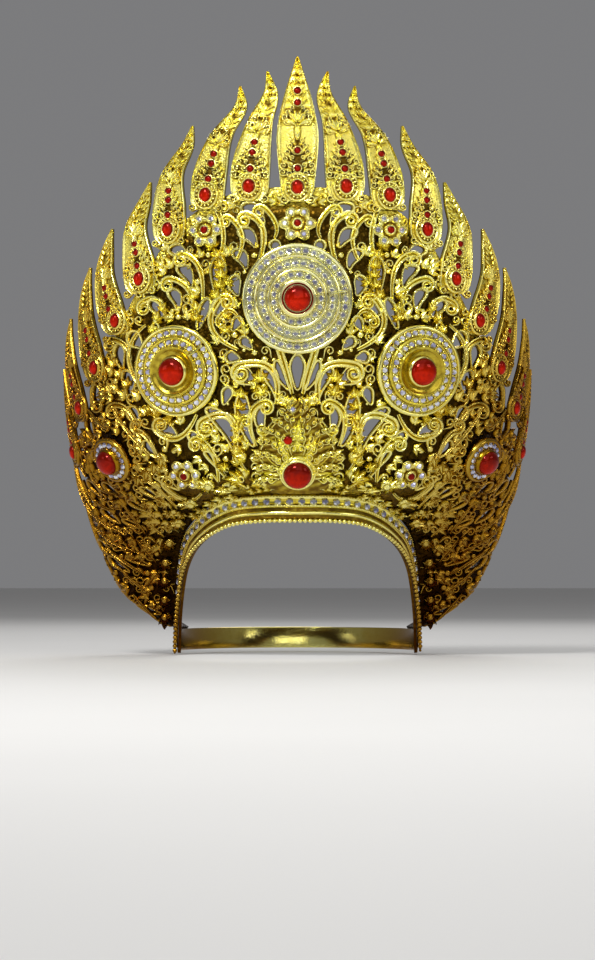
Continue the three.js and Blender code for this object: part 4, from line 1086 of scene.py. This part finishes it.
def panel_surface(start, stop, cell):
    """A panel of the wall: a grid over angle and height, clipped to where the free metal is over nought.

    The gilding is in painted shade, with a painted highlight just below the flames and in front above the
    headband.
    """
    columns = int(round((stop - start) * PANEL_PITCH / cell)) + 1
    rows = FRONT_ROWS if (start, stop) == PANELS["wall_front"] else SIDE_ROWS
    angle = np.linspace(start + PANEL_SEAM, stop - PANEL_SEAM, columns)
    foot, top = foot_height(angle) + 0.5, top_height(angle)
    up = foot + (top - foot) * np.linspace(0, 1, rows)[:, None]
    index = np.arange(up.size).reshape(up.shape)
    angle, up = np.broadcast_to(angle, up.shape).reshape(-1), up.reshape(-1)
    a, b, c, d = index[:-1, :-1], index[:-1, 1:], index[1:, 1:], index[1:, :-1]
    triangles = np.concatenate([np.stack(corners, -1).reshape(-1, 3) for corners in ((a, b, c), (a, c, d))])
    threes, fours, pairs, share = clipped(triangles, metal_left(angle, up))
    used, back = np.unique(np.concatenate([threes.reshape(-1), fours.reshape(-1)]), return_inverse=True)
    near, far = pairs.T
    angle, up = (
        np.concatenate([old, old[near] * (1 - share) + old[far] * share])[used] for old in (angle, up))
    back = back.reshape(-1)
    faces = [back[:threes.size].reshape(-1, 3), back[threes.size:].reshape(-1, 4)]
    below, above = top_height(angle) - up, up - foot_height(angle)
    # Painted shade over the plate, and a painted highlight under the wall's top and over its foot in front.
    relief = 0.02 + 0.5 * held(1.4 - below / 14) * held(2 - np.abs(angle) / 40)
    relief += 0.28 * held(1.5 - above / 9) * held(2 - np.abs(angle) / 26)
    return on_wall(angle, up, np.zeros(len(used))), faces, relief


def small_motifs(relief, hand, panel):
    """The small curls, three-leaved sprigs and beads of one hand on a panel."""
    relief = relief[:, within(relief[0] * hand, panel)]
    sort = np.digitize(relief[2], KIND_LIMITS)
    curls, sprigs, beads = (relief[:, sort == k] for k in range(3))
    angle, up, _, turn, size, flip = curls
    parts = [curls_on_wall(angle * hand, up, turn, size, flip * hand)]
    angle, up, _, turn, size, _ = sprigs
    same = np.full(len(up), hand)
    for spread, length in ((-52, 2.2), (0, 2.9), (52, 2.2)):
        parts.append(leaves_on_wall(
            angle * hand, up, turn + spread, size * length, same, 7, 0.3, 0.3, 0.95, SMALL_LEAF, 0.6, 0.12))
    angle, up, _, _, size, _ = beads
    origin, across, rise, out = flat_frame(angle * hand, up)
    parts.append(lathed(origin + out, across, rise, out, BEAD, 8, size=size * 0.72))
    return parts


def spray_motifs(sprays, hand, panel):
    """The five-leaved sprays of one hand on a panel: a longer leaf stands higher."""
    pick = (sprays[4] == hand) & within(sprays[0], panel)
    angle, up, turn, size, same = (column[pick] for column in sprays)
    return [
        leaves_on_wall(
            angle, up, turn + spread, size * length * 0.9, same, 9, hook, 0.3, 0.85, LEAF,
            1.0 + 0.5 * (length > 0.9) + 0.4 * (length > 1.1))
        for spread, length, hook in SPRAY_LEAVES]


def boss_motifs(hand, panel):
    """The leafy bosses of one hand on a panel: seven lobes and a curl."""
    angle = angle_at(LEAF_BOSSES[:, 0], LEAF_BOSSES[:, 1]) * hand
    pick = within(angle, panel)
    _, up, size, turn = LEAF_BOSSES[pick].T
    angle, same = angle[pick], np.full(len(up), hand)
    parts = [
        leaves_on_wall(
            angle, up, turn + spread, size * length, same, 9, hook, 0.24, 1.25, LEAF, 1.2 + 1.1 * length)
        for spread, length, hook in BOSS_LOBES]
    return parts + [curls_on_wall(angle, up, turn - 30, size * 0.27, same, 2.8)]


def flame_line(row, hand, share):
    """Angle and height at shares along one flame: a smooth curve through the midline's places across."""
    foot = row[1] - FLAME_FOOT
    up = foot + (row[2] - foot) * share
    return angle_at(smooth_read(FLAME_SHARES, row[3:8], share) * hand, up), up


def rear_flame_line(row, hand, share):
    """Angle and height at shares along a low rear flame: a leaning line, bowed by a parabola."""
    angle, up, lean, length, _ = row
    return (angle + lean * share + 4 * share * (1 - share)) * hand, up - 10 + (length + 10) * share


def flame_width(slim):
    """Shares along a flame with a slim foot or a broad one, and its width at each."""
    return FLAME_WIDTH[:, 0], FLAME_WIDTH[:, 2 if slim else 1]


def flame_leaf(angle, up, t, half, slim, low):
    """A flame: a leaf with a raised rim, a ribbed hollow and a ridge, carried from its foot to its tip.

    Its relief value is painted shade under the foliage, which is a triangle near the foot, a spray and a
    leafed tip, with painted highlights on the rim and ridge, and is streaked towards the tip by two sines.
    """
    wide = smooth_read(*flame_width(slim), t) * half * np.sqrt(1 - 0.62 * held(1 - t / 0.1) ** 2)
    rim = np.interp(t, FLAME_WIDTH[:, 0], FLAME_WIDTH[:, 3])
    side = np.array([-1, -0.98, -0.93, -0.86, -0.7, -0.4, -0.16, 0, 0.16, 0.4, 0.7, 0.86, 0.93, 0.98, 1])
    at_side = np.abs(side)
    row = t[:, None]
    rise = np.interp(
        at_side, [0, 0.16, 0.4, 0.7, 0.86, 0.93, 0.98, 1], [0.05, 0, -0.05, -0.1, 0.1, 1, 0.8, 0])
    tip = np.interp(row, [0.6, 0.78, 1], [0, 1, 1])
    ridge = np.interp(at_side, [0, 0.16, 0.4, 0.7, 1], [0.9, 0.1, 0.75, 0, 0]) * tip
    ribs = 0.22 * np.sin(2 * np.pi * row * 17) * tip * (at_side < 0.8)
    body = at_side < 0.99
    lift = 1.55 * body + rise * (rim[:, None] + 0.25) + (ridge * 0.9 + ribs) * body
    _, _, arc, _ = wall_frame(angle, up)
    at = angle[:, None] + side * wide[:, None] / arc[:, None]
    where = on_wall(at, np.broadcast_to(up[:, None], at.shape), low + lift)
    under = held((0.98 - (row - 0.17) * 2.9 - at_side) * 8) * held((row - 0.15) * 30)
    spray = held((0.8 - at_side) * 6) * held((0.075 - np.abs(row - 0.59)) * 30)
    leafed = held((row - 0.66) * 20) * held((0.92 - row) * 20) * held((0.66 - at_side) * 5)
    streaks = 0.16 * np.sin(2 * np.pi * row * 9 + side * 4) + 0.12 * np.sin(2 * np.pi * row * 23 - side * 7)
    # Painted shade under the foliage; the rim, ridge and ribs add painted highlights below.
    ground = 0.57 - 0.53 * np.maximum(under, spray) * (row < 0.7) - 0.3 * leafed
    ground = ground + (streaks - 0.1) * tip * (at_side < 0.8)
    relief = held(ground + rise * 0.4 + ridge * 0.3 + ribs * 1.6) * body
    return tubes(where[None], relief)


def on_flame(line, share, side, half, slim):
    """Angle, height and lean in degrees at shares along a flame and shares of its half width aside."""
    angle, up = line(share)
    ahead_angle, ahead_up = line(share + 0.04)
    _, _, arc, rise = wall_frame(angle, up)
    lean = np.arctan2((ahead_angle - angle) * arc, (ahead_up - up) * rise)
    aside = side * np.interp(share, *flame_width(slim)) * half
    return angle + aside * np.cos(lean) / arc, up - aside * np.sin(lean) / rise, np.degrees(lean)


def flame_cluster(line, half, slim, low):
    """The foliage on a flame: a stepped triangle of curls and hooked leaves, a stem, and a spray above."""
    leaves = partial(
        leaves_on_wall, steps=8, hook=0.25, half=0.2, tall=0.7, section=SMALL_LEAF, base=low + 1.4)
    surfaces = []
    for rows, full_half, draw in (
        (FLAME_CURLS, 14.5, partial(curls_on_wall, base=low + 1.45)), (FLAME_LEAVES, 13, leaves),
    ):
        share, side, size, turn = np.tile(rows, (2, 1)).T
        hand = np.repeat([1.0, -1.0], len(rows))
        angle, up, lean = on_flame(line, share, side * hand, half, slim)
        surfaces.append(draw(angle, up, lean * hand + turn, size * half / full_half, hand))
    return surfaces


def flame_parts(line, half, slim, low):
    """A flame with its foliage, in steps that lengthen a little towards the tip."""
    t = np.linspace(0, 1, 44) ** 1.15
    return [flame_leaf(*line(t), t, half, slim, low)] + flame_cluster(line, half, slim, low)


def flame_boss(frame):
    """The oval boss round a flame's stone: a stepped ring with a rope of beads."""
    ring = lathed(*frame, FLAME_RING, 32, tall=1.12, shade=FLAME_RING_SHADE)
    return [ring, lathed(*round_places(frame, 6.25, turns(16), 4.5, tall=7.0), BEAD, 6, size=0.85)]


def strip_end(frame, rows, turn, start, stop):
    """The joint where the strips of stones end: a thin ridge between two radii, as high as the rows."""
    origin, across, rise, out = frame
    radius = np.linspace(start, stop, 8)[:, None]
    rows = np.array(rows)[::-1]
    height = np.interp(radius, rows[:, 0], rows[:, 2])
    outward = across * np.cos(np.radians(turn)) + rise * np.sin(np.radians(turn))
    path = origin + outward * radius + out * (PLATE_BACK + height)
    side, lift_way = (np.broadcast_to(way, path.shape)[None] for way in (np.cross(outward, out), out))
    half, tall = np.full((1, 8), 1.15), np.full((1, 8), 2.7)
    points, faces, relief = swept(path[None], side, lift_way, half, tall, SMALL_ROUND, -1.4)
    # Its relief value is raised to a brighter painted highlight.
    return points, faces, held(relief * 1.6)


def crest_ground():
    """The shield under the crest's foliage: it bulges with the root of one minus side to the fourth."""
    up = np.linspace(113, 170, 31)[:, None]
    wide = np.interp(up, [113, 122, 132, 145, 155, 163, 170], [19, 26, 27.5, 24, 17, 9, 3])
    side = np.array([-1, -0.97, -0.88, -0.6, -0.3, 0, 0.3, 0.6, 0.88, 0.97, 1, 0.6, 0.2, -0.2, -0.6])
    over = np.where(np.arange(15) < 11, 2.8 * np.sqrt(1 - side**4), -0.6)
    up = np.broadcast_to(up, (31, 15))
    # Painted shade under the foliage, streaked by a sine.
    veins_in_shade = 0.2 + 0.16 * np.sin(up * 1.5 + np.abs(side) * 11)
    return tubes(on_wall(angle_at(side * wide, up), up, PLATE_BACK + over)[None], veins_in_shade)


def crest_motifs(hand):
    """The crest's leaves, and its curls with a small leaf under each, on one hand."""
    across, up, length, turn = CREST_LEAVES[hand < 0:].T
    parts = [leaves_on_wall(
        angle_at(across * hand, up), up, turn, length, np.full(len(up), hand), 14, 0.06, 0.24, 0.95, LEAF,
        PLATE_BACK + 0.3)]
    across, up, size, turn = CREST_CURLS.T
    angle, same = angle_at(across * hand, up), np.full(len(up), hand)
    return parts + [
        curls_on_wall(angle, up, turn, size, same, PLATE_BACK + 3.2),
        leaves_on_wall(
            angle, up - 1, turn - 50, size * 2.6, same, 7, 0.3, 0.26, 0.7, SMALL_LEAF, PLATE_BACK + 3.0)]


def band_point(angle, up, out):
    """A point of the headband's surface: an ellipse round the head, a little deeper behind."""
    depth = np.where(np.abs(angle) > 90, BACK_HALF_DEPTH, BAND_HALF_DEPTH)
    turn = np.radians(angle)
    place = (BAND_HALF_WIDTH + out) * np.sin(turn), -(depth + out) * np.cos(turn)
    return np.stack([*place, np.broadcast_to(up, np.shape(angle))], -1)


def lengths_along(place):
    """Length of a line of points from its start to each of them."""
    return np.concatenate([[0], np.cumsum(np.linalg.norm(np.diff(place, axis=0), axis=1))])


def band_lines(steps):
    """The headband's lower and top edges from temple to temple, evenly spaced along the lower edge."""
    rows = np.vstack([BAND[:0:-1] * [-1, 1, -1, 1], BAND])
    length = lengths_along(band_point(rows[:, 0], rows[:, 1], 0))
    at = np.linspace(0, length[-1], steps)
    return np.column_stack([smooth_read(length, rows[:, k], at) for k in range(4)])


def between_edges(lines, share):
    """Angle and height at shares of the way from the headband's lower edge to its top one."""
    low, high = lines[:, :2, None], lines[:, 2:, None]
    return np.moveaxis(low + (high - low) * share, 1, 0)


def band_spots(share, out, pitch, start=0.0):
    """Frames along the headband at one share of its width, a pitch apart, and their angles."""
    angle, up = between_edges(band_lines(900), share)[..., 0]
    place = band_point(angle, up, out)
    length = lengths_along(place)
    at = np.arange(start, length[-1] - start, pitch)
    spot = np.stack([np.interp(at, length, place[:, k]) for k in range(3)], -1)
    turn = np.interp(at, length, angle)
    round_turn = np.radians(turn)
    flat = np.sin(round_turn) / BAND_HALF_WIDTH, -np.cos(round_turn) / BAND_HALF_DEPTH
    normal = unit(np.stack([*flat, np.zeros(len(at))], -1))
    across = unit(np.cross([0.0, 0, 1], normal))
    return (spot, across, np.cross(normal, across), normal), turn


def band_row(share, row):
    """Frames of a row of beads or stones along the headband."""
    frame, turn = band_spots(share, row["out"], row["pitch"], row["room"])
    return [part[np.abs(turn) < row["end"]] for part in frame]


def headband_surface():
    """The headband: its section between both edges, with mouldings that sink where the band is narrow."""
    lines = band_lines(260)
    wide = np.hypot((lines[:, 2] - lines[:, 0]) * 1.5, lines[:, 3] - lines[:, 1])
    share, height = BAND_SECTION.T
    raised = held(wide / 9)[:, None]
    out = np.where(height > 1, 1 + (height - 1) * raised, height)
    # Painted shade on the low parts of the section and painted highlights on its ridges.
    tone = np.clip((height - 1.15) / 1.2, 0.15, 1)
    return tubes(band_point(*between_edges(lines, share), out)[None], tone)


def back_band_surface():
    """The plain band behind the head, with ends that slant like the temple tails."""
    height, out = BACK_SECTION.T
    slant = 0.9 * np.cos(np.pi * np.linspace(0, 1, 120))[:, None]
    at = np.linspace(88.6, 271.4, 120)[:, None] + np.where(height > 10, slant, -slant)
    return tubes(band_point(np.where(at > 180, at - 360, at), height, out)[None], 0.7)


def small_flame_stones():
    """Places of the small stones in a column on each flame, by their heights over its foot."""
    places = []
    for row in FLAMES:
        heights, full = FLAME_COLUMN if row[0] else MIDDLE_COLUMN
        for hand, _ in hands(row[0]):
            places.append(np.stack(flame_line(row, hand, np.array(heights) / full)))
    return np.hstack(places)


# ---- Operators ----
def settings(context):
    """The two settings groups that the pieces read."""
    return context.scene.headdress_sizes, context.scene.headdress_colours


def flames_of(hand):
    """The numbered flames of one hand; the middle one counts as left."""
    return list(enumerate(FLAMES))[hand < 0:]


class HEADDRESS_OT_wall(bpy.types.Operator):
    """Builds the pierced wall in its five panels."""

    bl_idname = "headdress.wall"
    bl_label = "Pierced wall"

    def execute(self, context):
        sizes, colours = settings(context)
        gold = finish("plate_gilding", colours)
        for name, panel in PANELS.items():
            surface, thickness = panel_surface(*panel, sizes.plate_cell / MM), sizes.wall_thickness / MM
            make_piece(f"{name}_plate", surface, gold, (name,), thickness=thickness)
        return {"FINISHED"}


class HEADDRESS_OT_scrollwork(bpy.types.Operator):
    """Builds the cast scrollwork: arms, gap rims, leaves, curls and beads, one piece for each panel."""

    bl_idname = "headdress.scrollwork"
    bl_label = "Scrollwork"

    def execute(self, context):
        sizes, colours = settings(context)
        gold = finish("cast_gilding", colours)
        arms, ribs = scroll_arms(), side_ribs()
        lines = (
            (arms[0][:, 8], arms, ARM, 0.5, False), (ribs[0][:, 8], ribs, ARM, 1.2, False),
            (ALL_GAPS[:, 0], gap_rims(), SMALL_ROUND, 0.4, True))
        relief, sprays = small_relief(sizes.relief_pitch / MM), foliage_sprays()
        for name, panel in PANELS.items():
            parts = []
            for where, path, section, base, closed in lines:
                pick = within(where, panel)
                parts.append(along_wall(*(part[pick] for part in path), section, base, closed))
            for hand in (1.0, -1.0):
                parts += small_motifs(relief, hand, panel) + spray_motifs(sprays, hand, panel)
                parts += boss_motifs(hand, panel)
            make_piece(f"{name}_scrollwork", joined(parts), gold)
        return {"FINISHED"}


class HEADDRESS_OT_flames(bpy.types.Operator):
    """Builds the seventeen flames of the upper rim and the low flames behind the temples."""

    bl_idname = "headdress.flames"
    bl_label = "Flames"

    def execute(self, context):
        _, colours = settings(context)
        gold = finish("cast_gilding", colours)
        for hand, tail in ((1, "_left"), (-1, "_right")):
            for number, row in flames_of(hand):
                half, slim = row[9], row[8] > 0
                line = partial(flame_line, row, hand)
                parts = flame_parts(line, half, slim, FLAME_BACK)
                parts += flame_boss(front_frame(row[0] * hand, row[1]))
                name = f"flame_{number}{tail if number else ''}"
                make_piece(f"{name}_casting", joined(parts), gold, (name,))
            parts = []
            for row in REAR_FLAMES:
                parts += flame_parts(partial(rear_flame_line, row, hand), row[4], True, REAR_BACK)
            make_piece(f"rear_flames{tail}", joined(parts), gold)
        return {"FINISHED"}


def medallion_shade(radius, height, part):
    """Painted shade of a medallion's rings: darker on steep steps, on the ground of the stones and in its
    trough.
    """
    shade = np.clip(0.95 - np.abs(np.gradient(height)) * 0.25, 0.3, 1)
    for row, _, _ in part["rows"]:
        shade = np.where(np.abs(radius - row) < 3.2, np.minimum(shade, part["floor"]), shade)
    if "trough" in part:
        middle, half = part["trough"]
        shade = np.where(np.abs(radius - middle) < half, 0.3, shade)
    return shade


class HEADDRESS_OT_medallions(bpy.types.Operator):
    """Builds the five stepped medallions, with a pair of beads between every two clear stones."""

    bl_idname = "headdress.medallions"
    bl_label = "Medallions"

    def execute(self, context):
        sizes, colours = settings(context)
        for name, part in MEDALLIONS.items():
            profile = np.array(LATHE_PROFILES[name], float)
            shade = medallion_shade(*profile.T, part)
            gold = finish("pale_gilding" if name == "centre" else "polished_gilding", colours)
            for hand, tail in hands(part["across"]):
                frame = front_frame(part["across"] * hand, part["up"])
                origin, across, rise, out = frame
                parts = [lathed(
                    origin + out * PLATE_BACK, across, rise, out, profile, sizes.lathe_sides, shade=shade)]
                for radius, count, height in part["rows"]:
                    turn, over = turns(count, 0.5), PLATE_BACK + height - 1.3
                    for shift in (-1.25, 1.25):
                        places = round_places(frame, radius + shift, turn, over)
                        parts.append(lathed(*places, BEAD, 6, size=0.8))
                if "strip" in part:
                    turn, spread, start, stop = part["strip"]
                    parts.append(strip_end(frame, part["rows"], turn + spread * hand, start, stop))
                node = f"medallion_{name}{tail}"
                make_piece(f"{node}_turning", joined(parts), gold, (node,))
        return {"FINISHED"}


class HEADDRESS_OT_rosettes(bpy.types.Operator):
    """Builds the five rosettes: six petals, made by a radius that waves round the ring, with their cups."""

    bl_idname = "headdress.rosettes"
    bl_label = "Rosettes"

    def execute(self, context):
        _, colours = settings(context)
        petal = 1 - 0.3 * (1 - np.abs(np.sin(3 * turns(72, 0.5) + np.pi / 2)) ** 0.7)
        for name, (place, up, radius) in ROSETTES.items():
            profile = ROSETTE_PROFILE * [radius, 1]
            wave = 1 - (1 - petal) * held((profile[:, 0] / radius - 0.4) * 3)[:, None]
            for hand, tail in hands(place):
                frame = front_frame(place * hand, up)
                body = lathed(
                    *front_frame(place * hand, up, PLATE_BACK), profile, 72, wave=wave, shade=ROSETTE_SHADE)
                cups = lathed(
                    *round_places(frame, PETAL_RADIUS, turns(PETALS), 3.6), CUP, 12, shade=CUP_SHADE)
                node = f"rosette_{name}{tail}"
                surface = joined([body, cups])
                make_piece(f"{node}_petals", surface, finish("cast_gilding", colours), (node,))
        return {"FINISHED"}


class HEADDRESS_OT_crest(bpy.types.Operator):
    """Builds the foliage and the bezel round the front stone."""

    bl_idname = "headdress.crest"
    bl_label = "Crest"

    def execute(self, context):
        _, colours = settings(context)
        bezel = lathed(*front_frame(0, FRONT_STONE_UP, PLATE_BACK), BEZEL, 48, shade=BEZEL_SHADE)
        points, faces, relief = joined([bezel] + crest_motifs(1.0) + crest_motifs(-1.0))
        # The crest's relief value is lifted, which brightens its painted highlights.
        surface = joined([(points, faces, held(relief * 1.5 + 0.34)), crest_ground()])
        gold = finish("cast_gilding", colours)
        make_piece("front_crest_foliage", surface, gold, ("front_crest",))
        return {"FINISHED"}


class HEADDRESS_OT_bands(bpy.types.Operator):
    """Builds the moulded headband, its beaded edge, its side bosses and the plain band behind the head."""

    bl_idname = "headdress.bands"
    bl_label = "Headband and edges"

    def execute(self, context):
        sizes, colours = settings(context)
        polished, cast = finish("polished_gilding", colours), finish("cast_gilding", colours)
        make_piece("headband_moulding", headband_surface(), polished, ("headband",))
        milling = [
            lathed(*band_row(share, MILLING), BEAD, 6, size=MILLING["radius"]) for share in MILLED_LINES]
        make_piece("headband_milling", joined(milling), cast)
        frame, _ = band_spots(*EDGE_LINE, sizes.bead_pitch / MM, EDGE_ROOM)
        beads = lathed(*frame, SPHERE, 10, size=EDGE_RADIUS, shade=EDGE_SHADE)
        frame, _ = band_spots(*EDGE_LINE, WIRE_PITCH, WIRE_ROOM)
        wire = lathed(*frame, SPHERE, 6, size=WIRE_RADIUS, shade=WIRE_SHADE)
        make_piece("beaded_edge_row", joined([beads, wire]), cast, ("beaded_edge",))
        across, up, size, _ = LEAF_BOSSES[LEAF_BOSSES[:, 0] > KNOBS_FROM].T
        size = np.clip(size * 0.42, 2.8, 4)
        knobs = [
            lathed(*front_frame(across * hand, up, 2.6), KNOB, 16, size=size, shade=KNOB_SHADE)
            for hand in (1, -1)]
        make_piece("side_bosses", joined(knobs), cast)
        make_piece("back_band_strip", back_band_surface(), polished, ("back_band",))
        return {"FINISHED"}


class HEADDRESS_OT_stones(bpy.types.Operator):
    """Sets the red cabochons, the collets of the smallest ones and the clear stones."""

    bl_idname = "headdress.stones"
    bl_label = "Stones"

    def execute(self, context):
        sizes, colours = settings(context)
        ruby, crystal = finish("red_glass", colours), finish("clear_glass", colours)
        parts, nodes = [], []
        for hand, tail in ((1, "_left"), (-1, "_right")):
            for number, row in flames_of(hand):
                parts.append(ruby_at(row[0] * hand, row[1], "flame"))
                nodes.append(f"flame_stone_{number}{tail if number else ''}")
        make_piece("flame_rubies", joined(parts), ruby, nodes)

        parts, nodes, clear = [], [], []
        for name, part in MEDALLIONS.items():
            for hand, tail in hands(part["across"]):
                place = part["across"] * hand, part["up"]
                # The far stones, which face aside, get less painted light than the others.
                seat, tone = front_frame(*place, part["seat"] - 0.9), 0.6 if name == "far" else 1.15
                parts.append(red_stones(seat, 40, part["ruby"] + 1.1, 1.0, tone))
                nodes.append(f"medallion_stone_{name}{tail}")
                for radius, count, height in part["rows"]:
                    over = PLATE_BACK + height - 1.5
                    clear.append(round_places(front_frame(*place), radius, turns(count), over))
        parts.append(ruby_at(0, FRONT_STONE_UP, "front"))
        make_piece("large_rubies", joined(parts), ruby, nodes + ["front_stone"])

        origin, across, rise, out = flat_frame(*small_flame_stones())
        over, *look = RUBIES["column"]
        column = origin + out * over, across, rise, out
        parts = [red_stones(column, *look), ruby_at(*CREST_RUBY, "crest")]
        for place, up, _ in ROSETTES.values():
            for hand, _ in hands(place):
                parts.append(ruby_at(place * hand, up, "rosette"))
                clear.append(round_places(front_frame(place * hand, up), PETAL_RADIUS, turns(PETALS), 4))
        clear.append([np.atleast_2d(part) for part in front_frame(*CREST_CRYSTAL)])
        make_piece("small_rubies", joined(parts), ruby)
        collets = lathed(*column, COLLET, 14, size=RUBIES["column"][2], shade=COLLET_SHADE)
        make_piece("small_collets", collets, finish("cast_gilding", colours))

        band_stones = band_row(STONE_LINE, BAND_STONES)
        whole = [np.vstack(columns) for columns in zip(*clear, band_stones)]
        size = np.full(len(whole[0]), sizes.crystal_radius / MM)
        size[-len(band_stones[0]):] = BAND_STONES["radius"]
        make_piece("clear_stones", lathed(*whole, CRYSTAL, 8, size=size), crystal, flat=True)
        return {"FINISHED"}


def added_object(context, name, data, place=(0, 0, 0), aim=None):
    """A new object in the scene, which looks at a point where one is given."""
    made = bpy.data.objects.new(name, data)
    made.location = place
    if aim:
        made.rotation_euler = (Vector(aim) - Vector(place)).to_track_quat("-Z", "Y").to_euler()
    context.scene.collection.objects.link(made)
    return made


class HEADDRESS_OT_stage(bpy.types.Operator):
    """Sets the floor, the soft lights and the camera."""

    bl_idname = "headdress.stage"
    bl_label = "Stage"

    def execute(self, context):
        stage = context.scene.headdress_stage
        ground = CAD_BOX[0][2]
        mesh = bpy.data.meshes.new("floor")
        corners = np.array([(-1, -1, 0), (1, -1, 0), (1, 1, 0), (-1, 1, 0)]) * FLOOR_REACH + [0, 0, ground]
        mesh.from_pydata(corners.tolist(), [], [(0, 1, 2, 3)])
        made, tree, shader = new_material("floor_paint")
        pale = tuple(stage.floor_colour)
        tone = ramp(tree, object_noise(tree, 3, 2), [(0.3, scaled(pale, 0.97)), (0.7, pale)])
        fed(tree, shader, {"Base Color": tone, "Roughness": 0.7})
        mesh.materials.append(made)
        added_object(context, "floor", mesh)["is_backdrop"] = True

        world = bpy.data.worlds.new("studio")
        world.use_nodes = True
        tree = world.node_tree
        fed(tree, tree.nodes["Background"], {"Color": (0.8, 0.8, 0.82, 1), "Strength": 0.25})
        context.scene.world = world
        context.scene.view_settings.view_transform = "Standard"
        for name, place, size, power in LIGHTS:
            data = bpy.data.lights.new(name, "AREA")
            data.size, data.energy = size, stage.key_power * power
            added_object(context, name, data, place, (0, -0.1, 0.22))

        data = bpy.data.cameras.new("camera")
        data.lens, data.sensor_width = stage.lens, SENSOR_WIDTH
        data.clip_start, data.clip_end = 0.05, 50
        place = (0, -stage.camera_distance, ground + stage.camera_height)
        context.scene.camera = added_object(context, "camera", data, place, (0, -0.09, stage.aim_height))
        return {"FINISHED"}


class HEADDRESS_PT_panel(bpy.types.Panel):
    """Lists the operators and the settings in the sidebar."""

    bl_idname = "HEADDRESS_PT_panel"
    bl_label = "Headdress"
    bl_space_type = "VIEW_3D"
    bl_region_type = "UI"
    bl_category = "Headdress"

    def draw(self, context):
        layout = self.layout
        for key in GROUPS:
            box = layout.box()
            group = getattr(context.scene, key)
            for name in group.__annotations__:
                box.prop(group, name)
        for operator in OPERATORS:
            layout.operator(operator.bl_idname)


GROUPS = {
    "headdress_sizes": HeaddressSizes, "headdress_colours": HeaddressColours,
    "headdress_stage": HeaddressStage,
}
OPERATORS = (
    HEADDRESS_OT_wall, HEADDRESS_OT_scrollwork, HEADDRESS_OT_flames, HEADDRESS_OT_medallions,
    HEADDRESS_OT_rosettes, HEADDRESS_OT_crest, HEADDRESS_OT_bands, HEADDRESS_OT_stones, HEADDRESS_OT_stage,
)
CLASSES = (*GROUPS.values(), *OPERATORS, HEADDRESS_PT_panel)


def register():
    """Registers the classes and hangs the settings on the scene."""
    for item in CLASSES:
        bpy.utils.register_class(item)
    for key, group in GROUPS.items():
        setattr(bpy.types.Scene, key, PointerProperty(type=group))


def unregister():
    """Takes the settings and the classes away again."""
    for key in GROUPS:
        delattr(bpy.types.Scene, key)
    for item in reversed(CLASSES):
        bpy.utils.unregister_class(item)


def main():
    """Builds every piece and the stage."""
    register()
    bpy.ops.headdress.wall()
    bpy.ops.headdress.scrollwork()
    bpy.ops.headdress.flames()
    bpy.ops.headdress.medallions()
    bpy.ops.headdress.rosettes()
    bpy.ops.headdress.crest()
    bpy.ops.headdress.bands()
    bpy.ops.headdress.stones()
    bpy.ops.headdress.stage()
    boxes = {"cad": CAD_BOX, "visual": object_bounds()}
    plain = {name: [[float(value) for value in corner] for corner in box] for name, box in boxes.items()}


if __name__ == "__main__":
    main()
